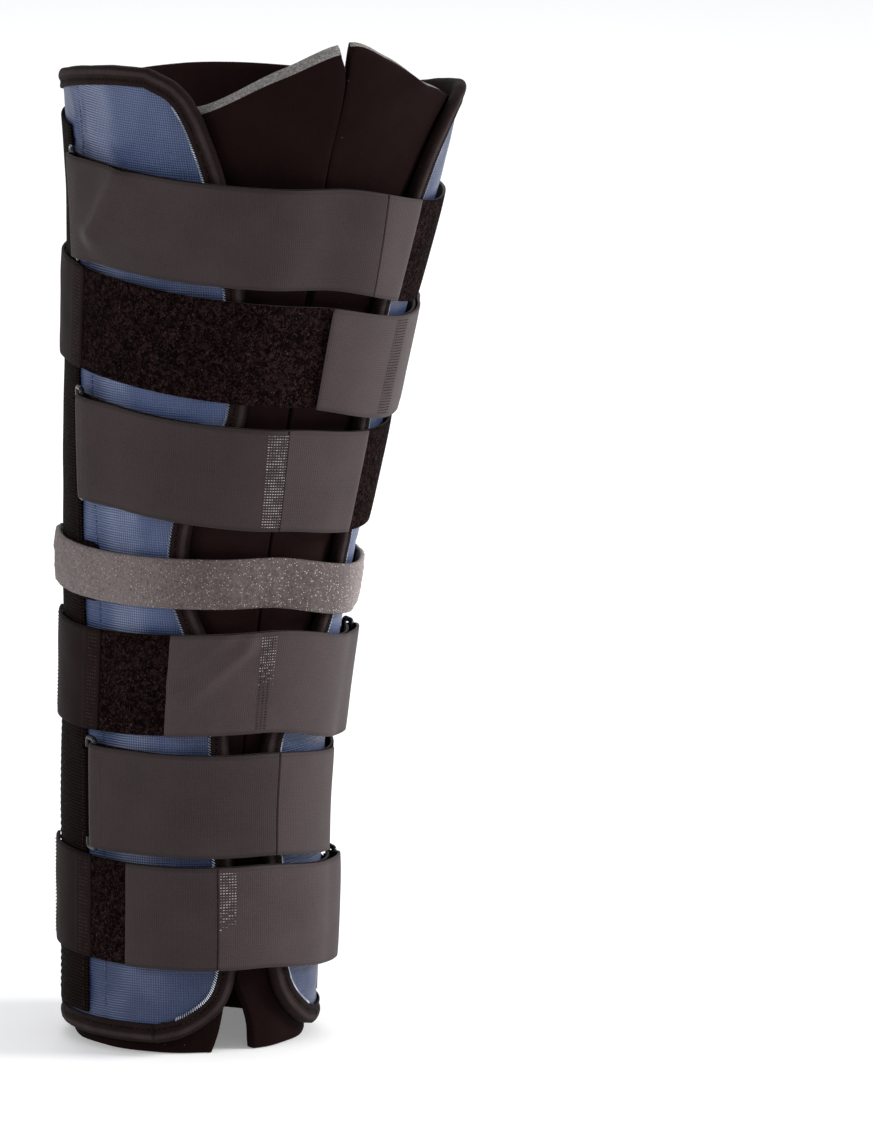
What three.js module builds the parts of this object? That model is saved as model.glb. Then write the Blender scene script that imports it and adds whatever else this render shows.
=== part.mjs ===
// Knee immobilizer: a padded foam tube, two cloth side panels and six straps that fold back through rings.
// Millimetres, +Z up. The front faces -Y and the lateral side of the leg faces -X.
import * as THREE from 'three';
import { mergeVertices } from 'three/addons/utils/BufferGeometryUtils.js';

// Leg form that everything is wound round
const WRAP_HEIGHT = 512;
const LEG_TOP_RADIUS = 89.5;
const LEG_LEAN = 29.5;

// Thicknesses, from the leg outwards, and the gap between two layers
const WRAP_THICKNESS = 8;
const PANEL_THICKNESS = 3;
const TAPE_THICKNESS = 0.9;
const STAY_THICKNESS = 1.4;
const TAB_THICKNESS = 1;
const STRAP_THICKNESS = 1.6;
const PATELLA_THICKNESS = 3.5;
const LAYER_GAP = 0.6;
const WIRE_GAP = 0.6;

// Foam wrap
const SLIT_FLARE = 13.5;
const WRAP_FALL = 46;
const WRAP_CUT_SLOPE = 4;
const WRAP_TOP_FLARE = 3;
const FLARE_REACH = 34;
const WRAP_COLUMNS = 28;

// Side panels and what is sewn on them
const PANEL_BOTTOM = 7;
const LATERAL_PANEL_TOP = 497;
const MEDIAL_PANEL_TOP = 475;
const PANEL_TOP_FALL = 24;
const PANEL_REAR_ANGLE = 150;
const PANEL_COLUMNS = 15;
const EDGE_PINCH = 0.5;
const TAPE_WIDTH = 9.5;
const STAY_WIDTH = 46;
const STAY_FRONT_Y = -14;
const STAY_TOP_MARGIN = 15;

// Straps and their rings
const STRAP_WIDTH = 51;
const ANCHOR_OVERHANG = 5;
const STRAP_SAG = 4;
const HOOK_LOFT = 0.5;
const FOLD_RAMP = 24;
const RING_WIRE = 2.6;
const RING_DEPTH = 8;
const RING_CORNER = 2;
const RING_STANDOFF = 4.5;
const TAB_WIDTH = 44;
const PATELLA_WIDTH = 24.5;
const PATELLA_HEIGHT = 239;
const PATELLA_FALL = 13;
const PATELLA_END_ANGLE = 124;
const PATELLA_TAB_REACH = 12;
const PATELLA_TAB_OVERHANG = 2.2;

// Layer heights above the leg form
const TAPE_FLOOR = WRAP_THICKNESS + LAYER_GAP;
const PANEL_FLOOR = TAPE_FLOOR + TAPE_THICKNESS + LAYER_GAP;
const PANEL_FACE = PANEL_FLOOR + PANEL_THICKNESS;
const TRIM_FLOOR = PANEL_FACE + LAYER_GAP;
const STRAP_FLOOR = TRIM_FLOOR + Math.max(STAY_THICKNESS, TAPE_THICKNESS) + LAYER_GAP;
const RING_INNER_HEIGHT = STRAP_WIDTH + 2 * LAYER_GAP;
const RING_OVERHANG = LAYER_GAP + RING_WIRE;
const STRAP_SPACING = RING_OVERHANG + LAYER_GAP;

// Leg sections: height as a share of WRAP_HEIGHT, radius of LEG_TOP_RADIUS, lean of LEG_LEAN
const LEG = [
  { height: 0.0, radius: 0.544, lean: 0.0 },
  { height: 0.14, radius: 0.557, lean: 0.04 },
  { height: 0.2475, radius: 0.562, lean: 0.05 },
  { height: 0.363, radius: 0.592, lean: 0.152 },
  { height: 0.47, radius: 0.643, lean: 0.271 },
  { height: 0.59, radius: 0.713, lean: 0.437 },
  { height: 0.71, radius: 0.777, lean: 0.617 },
  { height: 0.815, radius: 0.852, lean: 0.8 },
  { height: 0.92, radius: 0.94, lean: 0.925 },
  { height: 1.0, radius: 1.0, lean: 1.0 },
];

// Front slit: height as a share of WRAP_HEIGHT, both edges as shares of SLIT_FLARE, lateral side positive
const SLIT = [
  { height: 0.0, lateral: 1.0, medial: -0.78 },
  { height: 0.024, lateral: 0.74, medial: -0.66 },
  { height: 0.08, lateral: 0.46, medial: 0.12 },
  { height: 0.2, lateral: 0.22, medial: 0.06 },
  { height: 0.34, lateral: 0.12, medial: -0.06 },
  { height: 0.5, lateral: 0.06, medial: -0.12 },
  { height: 0.62, lateral: 0.1, medial: -0.12 },
  { height: 0.745, lateral: 0.2, medial: -0.2 },
  { height: 0.865, lateral: 0.28, medial: 0.15 },
  { height: 0.96, lateral: 0.14, medial: -0.02 },
  { height: 1.0, lateral: 0.46, medial: -0.04 },
];

// Wrap top: turn from the front midline in degrees, fall as a share of WRAP_FALL
const WRAP_TOP = [
  { turn: -180, fall: 0.9 },
  { turn: -90, fall: 1.0 },
  { turn: -40, fall: 0.64 },
  { turn: -14, fall: 0.2 },
  { turn: 0, fall: 0.0 },
  { turn: 20, fall: 0.27 },
  { turn: 47, fall: 0.72 },
  { turn: 90, fall: 0.84 },
  { turn: 180, fall: 0.9 },
];

// Panel outline: height as a share of the panel's own, edge angles in degrees from the front midline
const PANEL = [
  { height: 0.0, lateral: 40, medial: 50, rear: 11 },
  { height: 0.006, lateral: 29, medial: 40, rear: 6 },
  { height: 0.02, lateral: 18, medial: 30, rear: 3 },
  { height: 0.035, lateral: 11, medial: 23, rear: 1 },
  { height: 0.055, lateral: 7, medial: 18, rear: 0 },
  { height: 0.085, lateral: 5.4, medial: 14.5, rear: 0 },
  { height: 0.185, lateral: 8, medial: 11, rear: 0 },
  { height: 0.31, lateral: 12, medial: 7.5, rear: 0 },
  { height: 0.375, lateral: 17, medial: 17, rear: 0 },
  { height: 0.425, lateral: 27, medial: 29, rear: 0 },
  { height: 0.465, lateral: 33.5, medial: 34, rear: 0 },
  { height: 0.515, lateral: 35.5, medial: 36, rear: 0 },
  { height: 0.57, lateral: 31.5, medial: 35, rear: 0 },
  { height: 0.645, lateral: 19.5, medial: 32, rear: 0 },
  { height: 0.767, lateral: 25, medial: 29, rear: 0 },
  { height: 0.88, lateral: 34.5, medial: 33, rear: 0 },
  { height: 0.93, lateral: 40, medial: 37, rear: 0 },
  { height: 0.965, lateral: 45, medial: 43, rear: 1 },
  { height: 0.988, lateral: 51, medial: 50, rear: 4 },
  { height: 1.0, lateral: 60, medial: 58, rear: 10 },
];

// Free room under each wide strap besides STRAP_SPACING, as shares of WRAP_HEIGHT, in order from the knee
const ROOM_ABOVE_KNEE = [
  { strap: 3, lateral: 0.046, front: 0.023, medial: 0.032 },
  { strap: 2, lateral: 0.016, front: 0.017, medial: 0.002 },
  { strap: 1, lateral: 0.003, front: 0.009, medial: 0.004 },
];
const ROOM_BELOW_KNEE = [
  { strap: 4, lateral: 0.024, front: 0.019, medial: 0.017 },
  { strap: 5, lateral: 0.003, front: 0.015, medial: 0.005 },
  { strap: 6, lateral: 0.005, front: 0.003, medial: 0.003 },
];

// Wide straps: the ring's side, where the pile starts and where the folded end stops, in degrees from the
// front midline and positive towards the ring
const STRAPS = [
  { strap: 1, ring: 'lateral', start: -86, end: -33 },
  { strap: 2, ring: 'medial', start: -86, end: 6 },
  { strap: 3, ring: 'lateral', start: -80, end: -32 },
  { strap: 4, ring: 'medial', start: -70, end: -38 },
  { strap: 5, ring: 'lateral', start: -72, end: -52 },
  { strap: 6, ring: 'medial', start: -73, end: -53 },
];

// Strap heights are read on three lines down the leg, at these angles
const LATERAL_LINE = 100;
const MEDIAL_LINE = -60;

// One step along a strap, in degrees, steps round a bend, and the tallest row as a share of a piece's height
const STEP_ANGLE = 9;
const BEND_STEPS = 5;
const ROW_SHARE = 0.075;
const STAY_COLUMNS = 4;
const STAY_ROWS = 16;
const WIRE_SIDES = 5;

const COLOURS = {
  foam: { color: 0x1e1616, roughness: 0.95 },
  panel: { color: 0x556996, roughness: 0.7 },
  tape: { color: 0x37302d, roughness: 0.85 },
  ribbed: { color: 0x28211c, roughness: 0.9 },
  strap: { color: 0x46403f, roughness: 0.75 },
  wire: { color: 0x101010, roughness: 0.25 },
  greyFoam: { color: 0x736966, roughness: 0.85 },
};

// Value of a table's column at a place in its key column, joined by smooth curves
function readTable(table, key, column, place) {
  const last = table.length - 1;
  const at = THREE.MathUtils.clamp(place, table[0][key], table[last][key]);
  let row = 0;
  while (row < last - 1 && at > table[row + 1][key]) row += 1;
  const slope = (a, b) => (table[b][column] - table[a][column]) / (table[b][key] - table[a][key]);
  const step = table[row + 1][key] - table[row][key];
  const startSlope = slope(Math.max(row - 1, 0), row + 1) * step;
  const endSlope = slope(row, Math.min(row + 2, last)) * step;
  const t = (at - table[row][key]) / step;
  const from = table[row][column];
  const to = table[row + 1][column];
  const curve = [from, startSlope, 3 * (to - from) - 2 * startSlope - endSlope,
    2 * (from - to) + startSlope + endSlope];
  return curve[0] + t * (curve[1] + t * (curve[2] + t * curve[3]));
}

// Heights of a table's rows, with more between two rows that lie far apart
function levels(table) {
  const heights = [table[0].height];
  for (let row = 1; row < table.length; row += 1) {
    const from = table[row - 1].height;
    const to = table[row].height;
    const count = Math.ceil((to - from) / ROW_SHARE);
    for (let k = 1; k <= count; k += 1) heights.push(from + (to - from) * k / count);
  }
  return heights;
}

const radians = THREE.MathUtils.degToRad;
const degrees = THREE.MathUtils.radToDeg;
const legRadius = (z) => LEG_TOP_RADIUS * readTable(LEG, 'height', 'radius', z / WRAP_HEIGHT);
const legLean = (z) => LEG_LEAN * readTable(LEG, 'height', 'lean', z / WRAP_HEIGHT);

// Point at an angle from the front midline, at a height, so far out from the leg form
function onLeg(angle, z, out) {
  const reach = legRadius(z) + out;
  const lean = legLean(z);
  return new THREE.Vector3(lean - reach * Math.sin(angle), -lean - reach * Math.cos(angle), z);
}

// Closed geometry with every face pointing out, from a three.js geometry whose points were moved
function solid(geometry) {
  geometry.deleteAttribute('normal');
  geometry.deleteAttribute('uv');
  const merged = mergeVertices(geometry, 1e-3);
  const points = merged.getAttribute('position');
  const index = merged.getIndex();
  const corner = (k) => new THREE.Vector3().fromBufferAttribute(points, index.getX(k));
  let volume = 0;
  for (let k = 0; k < index.count; k += 3) volume += corner(k).dot(corner(k + 1).cross(corner(k + 2)));
  for (let k = 0; volume < 0 && k < index.count; k += 3) {
    const first = index.getX(k);
    index.setX(k, index.getX(k + 1));
    index.setX(k + 1, first);
  }
  merged.computeVertexNormals();
  return merged;
}

// Sheet with thickness: map gets the shares along, up and through the sheet
function sheet(columns, rows, map) {
  const geometry = new THREE.BoxGeometry(1, 1, 1, columns, rows, 1);
  const points = geometry.getAttribute('position');
  for (let k = 0; k < points.count; k += 1) {
    const place = map(points.getX(k) + 0.5, points.getY(k) + 0.5, points.getZ(k) + 0.5);
    points.setXYZ(k, place.x, place.y, place.z);
  }
  return solid(geometry);
}

// Closed hoop: map gets the station along the hoop and the corner round its section
function hoop(stations, corners, map) {
  const geometry = new THREE.TorusGeometry(2, 1, corners, stations);
  const points = geometry.getAttribute('position');
  for (let k = 0; k < points.count; k += 1) {
    const place = map((k % (stations + 1)) % stations, Math.floor(k / (stations + 1)) % corners);
    points.setXYZ(k, place.x, place.y, place.z);
  }
  return solid(geometry);
}

function piece(name, finish, geometry) {
  const mesh = new THREE.Mesh(geometry, new THREE.MeshStandardMaterial({ ...COLOURS[finish], metalness: 0 }));
  mesh.name = name;
  return mesh;
}

// Foam wrap

function wrapTop(turn) {
  return WRAP_HEIGHT - WRAP_FALL * readTable(WRAP_TOP, 'turn', 'fall', turn);
}

function foamWrap() {
  const rows = levels(SLIT);
  const geometry = sheet(WRAP_COLUMNS, rows.length - 1, (along, up, through) => {
    const height = rows[Math.round(up * (rows.length - 1))];
    const radius = legRadius(height * WRAP_HEIGHT) + WRAP_THICKNESS;
    const lateral = SLIT_FLARE * readTable(SLIT, 'height', 'lateral', height) / radius;
    const medial = SLIT_FLARE * readTable(SLIT, 'height', 'medial', height) / radius;
    const angle = lateral + along * (2 * Math.PI + medial - lateral);
    const turn = degrees(angle > Math.PI ? angle - 2 * Math.PI : angle);
    const cut = height < 1 ? 0 : WRAP_CUT_SLOPE * through;
    const flare = WRAP_TOP_FLARE * THREE.MathUtils.smoothstep(height, SLIT[SLIT.length - 3].height, 1)
      * (1 - THREE.MathUtils.smoothstep(Math.abs(turn), 0, FLARE_REACH));
    return onLeg(angle, height * wrapTop(turn) - cut, through * WRAP_THICKNESS + flare);
  });
  return piece('foam_wrap', 'foam', geometry);
}

// Side panels, their binding tape and the ribbed stay webbing

const SIDES = {
  lateral: { sign: 1, top: LATERAL_PANEL_TOP },
  medial: { sign: -1, top: MEDIAL_PANEL_TOP },
};

const PANEL_ROWS = levels(PANEL);

// Place on a panel's outline or inside it: angle in radians and height
function onPanel(side, along, row) {
  const share = PANEL_ROWS[row];
  const front = readTable(PANEL, 'height', side, share);
  const rear = PANEL_REAR_ANGLE - readTable(PANEL, 'height', 'rear', share);
  const angle = front + along * (rear - front);
  const topCorner = PANEL[PANEL.length - 1][side];
  const fall = PANEL_TOP_FALL * THREE.MathUtils.smoothstep(angle, topCorner, PANEL_REAR_ANGLE);
  const z = PANEL_BOTTOM + share * (SIDES[side].top - fall - PANEL_BOTTOM);
  return { angle: radians(angle), z };
}

function sidePanel(side) {
  const rows = PANEL_ROWS.length - 1;
  const geometry = sheet(PANEL_COLUMNS, rows, (along, up, through) => {
    const place = onPanel(side, along, Math.round(up * rows));
    const onEdge = Math.abs(along - 0.5) === 0.5 || Math.abs(up - 0.5) === 0.5;
    const pinch = onEdge ? EDGE_PINCH * (1 - 2 * through) : 0;
    return onLeg(SIDES[side].sign * place.angle, place.z, PANEL_FLOOR + through * PANEL_THICKNESS + pinch);
  });
  return piece(`${side}_panel`, 'panel', geometry);
}

// Panel outline, once round: up the front edge, back along the top, down the rear edge and forwards
function panelOutline(side) {
  const rows = PANEL_ROWS.length - 1;
  const outline = [];
  for (let row = 0; row < rows; row += 1) outline.push(onPanel(side, 0, row));
  for (let k = 0; k < PANEL_COLUMNS; k += 1) outline.push(onPanel(side, k / PANEL_COLUMNS, rows));
  for (let row = rows; row > 0; row -= 1) outline.push(onPanel(side, 1, row));
  for (let k = PANEL_COLUMNS; k > 0; k -= 1) outline.push(onPanel(side, k / PANEL_COLUMNS, 0));
  return outline;
}

// Binding tape: a U section that holds the panel's edge between its two walls
function binding(side) {
  const outline = panelOutline(side);
  const edge = -LAYER_GAP;
  const lip = edge - TAPE_THICKNESS;
  const reach = TAPE_WIDTH + lip;
  const bottom = PANEL_FLOOR - LAYER_GAP - TAPE_THICKNESS;
  const top = TRIM_FLOOR + TAPE_THICKNESS;
  const section = [[reach, bottom], [lip, bottom], [lip, top], [reach, top],
    [reach, top - TAPE_THICKNESS], [edge, top - TAPE_THICKNESS],
    [edge, bottom + TAPE_THICKNESS], [reach, bottom + TAPE_THICKNESS]];
  const geometry = hoop(outline.length, section.length, (station, corner) => {
    const here = outline[station];
    const before = outline[(station + outline.length - 1) % outline.length];
    const after = outline[(station + 1) % outline.length];
    const radius = legRadius(here.z) + PANEL_FACE;
    const run = new THREE.Vector2((after.angle - before.angle) * radius, after.z - before.z).normalize();
    const [inward, out] = section[corner];
    const angle = here.angle + run.y * inward / radius;
    return onLeg(SIDES[side].sign * angle, here.z - run.x * inward, out);
  });
  return piece(`${side}_binding`, 'tape', geometry);
}

// Angle of the stay webbing's front edge, which runs straight up, seen from the side
function stayAngle(z) {
  return Math.acos((-legLean(z) - STAY_FRONT_Y) / (legRadius(z) + TRIM_FLOOR));
}

function stayWebbing(side) {
  const bottom = PANEL_BOTTOM + TAPE_WIDTH;
  const top = SIDES[side].top - PANEL_TOP_FALL / 2 - TAPE_WIDTH - STAY_TOP_MARGIN;
  const geometry = sheet(STAY_COLUMNS, STAY_ROWS, (along, up, through) => {
    const z = THREE.MathUtils.lerp(bottom, top, up);
    const angle = stayAngle(z) + along * STAY_WIDTH / (legRadius(z) + TRIM_FLOOR);
    return onLeg(SIDES[side].sign * angle, z, TRIM_FLOOR + through * STAY_THICKNESS);
  });
  return piece(`${side}_stay_webbing`, 'ribbed', geometry);
}

// Heights of the straps on the three lines down the leg

const KNEE_HEIGHTS = { lateral: PATELLA_HEIGHT, front: PATELLA_HEIGHT, medial: PATELLA_HEIGHT - PATELLA_FALL };
const STRAP_HEIGHTS = {};
for (const [rooms, way] of [[ROOM_ABOVE_KNEE, 1], [ROOM_BELOW_KNEE, -1]]) {
  let last = KNEE_HEIGHTS;
  let halfWidth = PATELLA_WIDTH / 2;
  for (const room of rooms) {
    const next = {};
    for (const line of ['lateral', 'front', 'medial']) {
      const pitch = halfWidth + STRAP_WIDTH / 2 + STRAP_SPACING + room[line] * WRAP_HEIGHT;
      next[line] = last[line] + way * pitch;
    }
    STRAP_HEIGHTS[room.strap] = next;
    last = next;
    halfWidth = STRAP_WIDTH / 2;
  }
}

// Height of a strap's middle at an angle in radians, lateral side positive
function strapHeight(heights, angle) {
  const turn = degrees(angle);
  const toLateral = THREE.MathUtils.smoothstep(turn, 0, LATERAL_LINE);
  const toMedial = THREE.MathUtils.smoothstep(-turn, 0, -MEDIAL_LINE);
  return heights.front + toLateral * (heights.lateral - heights.front)
    + toMedial * (heights.medial - heights.front);
}

// How far a tight strap of some width sags towards the leg between the two panels' front edges
function sagUnder(heights, width) {
  const edges = {};
  for (const side of ['lateral', 'medial']) {
    const tall = SIDES[side].top - PANEL_BOTTOM;
    const reads = [-0.5, -0.25, 0, 0.25, 0.5].map((share) => {
      const height = (heights.front + share * width - PANEL_BOTTOM) / tall;
      return readTable(PANEL, 'height', side, height);
    });
    edges[side] = radians(Math.min(...reads)) - TAPE_WIDTH / legRadius(heights.front);
  }
  return (angle) => {
    const edge = Math.max(angle > 0 ? edges.lateral : edges.medial, radians(1));
    const chord = legRadius(heights.front) * (1 - Math.cos(Math.min(edges.lateral, edges.medial)));
    const depth = edges.lateral > 0 && edges.medial > 0 ? Math.min(STRAP_SAG, chord) : 0;
    return depth * (1 - THREE.MathUtils.smoothstep(Math.abs(angle), 0, edge));
  };
}

// Band swept along a path of places: angle towards its ring, in radians, and height out from the leg.
// turn gives the share of the stay webbing's lean that the band follows at an angle.
function band(path, sign, width, thickness, heights, turn = () => 0) {
  const normals = path.map((here, k) => {
    const before = path[Math.max(k - 1, 0)];
    const after = path[Math.min(k + 1, path.length - 1)];
    const radius = legRadius(heights.front) + here.out;
    return new THREE.Vector2(before.out - after.out, (after.angle - before.angle) * radius).normalize();
  });
  return sheet(path.length - 1, 1, (along, up, through) => {
    const station = Math.round(along * (path.length - 1));
    const here = path[station];
    const shift = (0.5 - through) * thickness;
    const radius = legRadius(heights.front) + here.out;
    const middle = strapHeight(heights, sign * here.angle);
    const z = middle + (up - 0.5) * width;
    const lean = turn(here.angle) * (stayAngle(z) - stayAngle(middle));
    const angle = here.angle + lean + normals[station].x * shift / radius;
    return onLeg(sign * angle, z, here.out + normals[station].y * shift);
  });
}

// Path of even steps between two angles, at a height given by a function of the angle
function steps(from, to, out) {
  const count = Math.max(2, Math.ceil(Math.abs(degrees(to - from)) / STEP_ANGLE));
  return Array.from({ length: count + 1 }, (_, k) => {
    const angle = THREE.MathUtils.lerp(from, to, k / count);
    return { angle, out: out(angle) };
  });
}

// Ring, its tab and its strap share these places, measured forwards from the stay webbing's front edge
const TAB_MIDDLE = TRIM_FLOOR + TAB_THICKNESS / 2;
const REAR_BAR_OUT = TRIM_FLOOR + TAB_THICKNESS + WIRE_GAP + RING_WIRE / 2;
const FRONT_BAR_OUT = STRAP_FLOOR + STRAP_THICKNESS + WIRE_GAP + RING_WIRE / 2;
const TAB_BEND = RING_WIRE / 2 + WIRE_GAP + TAB_THICKNESS / 2;
const STRAP_BEND = RING_WIRE / 2 + WIRE_GAP + STRAP_THICKNESS / 2;

function ringPlace(strap) {
  const heights = STRAP_HEIGHTS[strap.strap];
  const sign = SIDES[strap.ring].sign;
  const z = strapHeight(heights, sign * stayAngle(heights[strap.ring]));
  const radius = legRadius(z) + STRAP_FLOOR;
  const stay = stayAngle(z);
  return { sign, heights, z, radius, stay, front: stay - (RING_STANDOFF + RING_DEPTH) / radius };
}

// Wire ring: an upright rectangle with round corners, its rear bar lower than its front bar
function ring(strap) {
  const place = ringPlace(strap);
  const outline = [];
  const halfDepth = RING_DEPTH / 2;
  const halfHeight = (RING_INNER_HEIGHT + RING_WIRE) / 2;
  for (const [x, y, start] of [[1, 1, 0], [-1, 1, 90], [-1, -1, 180], [1, -1, 270]]) {
    for (const turn of [0, 45, 90]) {
      const angle = radians(start + turn);
      outline.push({
        x: x * (halfDepth - RING_CORNER) + RING_CORNER * Math.cos(angle),
        y: y * (halfHeight - RING_CORNER) + RING_CORNER * Math.sin(angle),
      });
    }
  }
  const geometry = hoop(outline.length, WIRE_SIDES, (station, corner) => {
    const here = outline[station];
    const before = outline[(station + outline.length - 1) % outline.length];
    const after = outline[(station + 1) % outline.length];
    const run = new THREE.Vector2(after.x - before.x, after.y - before.y).normalize();
    const turn = 2 * Math.PI * corner / WIRE_SIDES;
    const spread = RING_WIRE / 2 * Math.cos(turn);
    const forwards = RING_STANDOFF + halfDepth + here.x + run.y * spread;
    const rise = THREE.MathUtils.lerp(REAR_BAR_OUT, FRONT_BAR_OUT, 0.5 + here.x / RING_DEPTH);
    const z = place.z + here.y - run.x * spread;
    const angle = stayAngle(z) - forwards / place.radius;
    return onLeg(place.sign * angle, z, rise + RING_WIRE / 2 * Math.sin(turn));
  });
  return piece(`ring_${strap.strap}`, 'wire', geometry);
}

// Tab: webbing from the stay webbing's front edge, round the ring's rear bar and back
function ringTab(strap) {
  const place = ringPlace(strap);
  const endOut = TAB_MIDDLE + TAB_THICKNESS + LAYER_GAP;
  const back = LAYER_GAP - RING_STANDOFF;
  const drop = endOut - REAR_BAR_OUT;
  const endTurn = Math.atan2(drop, back) + 2 * Math.PI * (drop < 0)
    - Math.acos(TAB_BEND / Math.hypot(back, drop));
  const path = [{ forwards: LAYER_GAP, out: TAB_MIDDLE }];
  for (let k = 0; k <= BEND_STEPS; k += 1) {
    const turn = THREE.MathUtils.lerp(-Math.PI / 2, endTurn, k / BEND_STEPS);
    path.push({
      forwards: RING_STANDOFF + TAB_BEND * Math.cos(turn),
      out: REAR_BAR_OUT + TAB_BEND * Math.sin(turn),
    });
  }
  path.push({ forwards: LAYER_GAP, out: endOut });
  const turned = path.map(({ forwards, out }) => ({ angle: place.stay - forwards / place.radius, out }));
  return piece(`ring_${strap.strap}_tab`, 'ribbed',
    band(turned, place.sign, TAB_WIDTH, TAB_THICKNESS, place.heights, () => 1));
}

// Wide strap: from its sewn end across the front, round the ring's front bar and back over itself
function wideStrap(strap) {
  const place = ringPlace(strap);
  const start = radians(strap.start) + LAYER_GAP / place.radius;
  const layer = STRAP_THICKNESS + HOOK_LOFT;
  const sag = sagUnder(place.heights, STRAP_WIDTH);
  const under = (angle) => STRAP_FLOOR + STRAP_THICKNESS / 2 - sag(place.sign * angle);
  const turn = (angle) => THREE.MathUtils.smoothstep(angle, 0, place.front);
  const rampLength = FOLD_RAMP / place.radius;
  const over = (angle) => {
    const near = THREE.MathUtils.smoothstep(angle, place.front - rampLength, place.front);
    return under(angle) + THREE.MathUtils.lerp(layer, 2 * STRAP_BEND, near);
  };
  const path = steps(start, place.front, under);
  for (let k = 1; k < BEND_STEPS; k += 1) {
    const bend = Math.PI * k / BEND_STEPS;
    path.push({
      angle: place.front + STRAP_BEND * Math.sin(bend) / place.radius,
      out: FRONT_BAR_OUT - STRAP_BEND * Math.cos(bend),
    });
  }
  path.push(...steps(place.front, place.front - rampLength, over).slice(0, -1));
  path.push(...steps(place.front - rampLength, radians(strap.end), over));
  return piece(`strap_${strap.strap}`, 'strap',
    band(path, place.sign, STRAP_WIDTH, STRAP_THICKNESS, place.heights, turn));
}

// Smooth webbing that holds a strap's sewn end: it lies over the stay webbing on the side without the ring
function strapAnchor(strap) {
  const place = ringPlace(strap);
  const other = strap.ring === 'lateral' ? 'medial' : 'lateral';
  const z = place.heights[other];
  const rear = stayAngle(z) + (STAY_WIDTH + ANCHOR_OVERHANG) / (legRadius(z) + STRAP_FLOOR);
  const path = steps(-rear, radians(strap.start), () => STRAP_FLOOR + STRAP_THICKNESS / 2);
  return piece(`strap_${strap.strap}_anchor`, 'strap',
    band(path, place.sign, STRAP_WIDTH, STRAP_THICKNESS, place.heights));
}

// Narrow foam strap over the knee, and the hook tab under it in front of each stay webbing

function patellaStrap() {
  const end = radians(PATELLA_END_ANGLE);
  const sag = sagUnder(KNEE_HEIGHTS, PATELLA_WIDTH);
  const path = steps(-end, end, (angle) => STRAP_FLOOR + PATELLA_THICKNESS / 2 - sag(angle));
  return piece('patella_strap', 'greyFoam', band(path, 1, PATELLA_WIDTH, PATELLA_THICKNESS, KNEE_HEIGHTS));
}

function patellaTab(side) {
  const z = KNEE_HEIGHTS[side];
  const radius = legRadius(z) + TRIM_FLOOR;
  const rear = stayAngle(z) - LAYER_GAP / radius;
  const height = PATELLA_WIDTH + 2 * PATELLA_TAB_OVERHANG;
  const path = steps(rear - PATELLA_TAB_REACH / radius, rear, () => TRIM_FLOOR + STAY_THICKNESS / 2);
  return piece(`patella_strap_${side}_tab`, 'strap',
    band(path, SIDES[side].sign, height, STAY_THICKNESS, KNEE_HEIGHTS, () => 1));
}

const immobilizer = new THREE.Group();
immobilizer.add(foamWrap());
for (const side of ['lateral', 'medial']) {
  immobilizer.add(sidePanel(side), binding(side), stayWebbing(side), patellaTab(side));
}
for (const strap of STRAPS) {
  immobilizer.add(ring(strap), ringTab(strap), wideStrap(strap), strapAnchor(strap));
}
immobilizer.add(patellaStrap());

// The origin is under the middle of the whole thing, on the surface that it stands on
const middle = new THREE.Box3().setFromObject(immobilizer).getCenter(new THREE.Vector3());
immobilizer.position.set(-middle.x, -middle.y, 0);

export default immobilizer;
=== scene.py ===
"""Knee immobilizer: a foam tube, two cloth side panels and six straps that fold back through wire rings."""

from __future__ import annotations

import logging
import math
from dataclasses import dataclass, field
from enum import Enum
from typing import Any, Callable, Sequence

import bmesh
import bpy
import numpy as np
from mathutils import Matrix, Vector


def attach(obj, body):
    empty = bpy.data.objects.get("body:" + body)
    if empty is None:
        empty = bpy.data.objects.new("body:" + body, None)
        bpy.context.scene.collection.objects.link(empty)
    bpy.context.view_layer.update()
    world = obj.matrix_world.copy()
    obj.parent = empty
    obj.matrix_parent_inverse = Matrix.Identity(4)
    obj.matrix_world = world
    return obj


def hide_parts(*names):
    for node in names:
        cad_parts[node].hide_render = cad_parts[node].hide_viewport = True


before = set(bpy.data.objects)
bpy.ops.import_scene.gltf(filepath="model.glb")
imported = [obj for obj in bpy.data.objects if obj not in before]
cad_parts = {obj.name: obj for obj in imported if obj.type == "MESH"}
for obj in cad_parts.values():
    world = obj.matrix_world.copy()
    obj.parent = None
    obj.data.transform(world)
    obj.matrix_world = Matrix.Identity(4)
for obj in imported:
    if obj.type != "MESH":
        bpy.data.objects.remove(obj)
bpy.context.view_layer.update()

LOG = logging.getLogger("knee_immobilizer")
BODY = "root"
Points = np.ndarray
Socket = bpy.types.NodeSocket
Material = bpy.types.Material

# Distance over which an outward direction is read, and radius of a fine thread, in metres
PROBE = 0.001
THREAD_RADIUS = 0.0002

# Name, slot and number of faces of each piece that was dressed, in order
DRESSED: list[tuple[str, str, int]] = []


def smooth(value: Points | float, low: float, high: float) -> Points:
    """Rise from 0 at low to 1 at high with a soft start and end.

    Args:
        value: Where the rise is read.
        low: Value at which the rise starts.
        high: Value at which it ends.

    Returns:
        Shares from 0 to 1.
    """
    share = np.clip((np.asarray(value, float) - low) / (high - low), 0.0, 1.0)
    return share * share * (3 - 2 * share)


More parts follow.
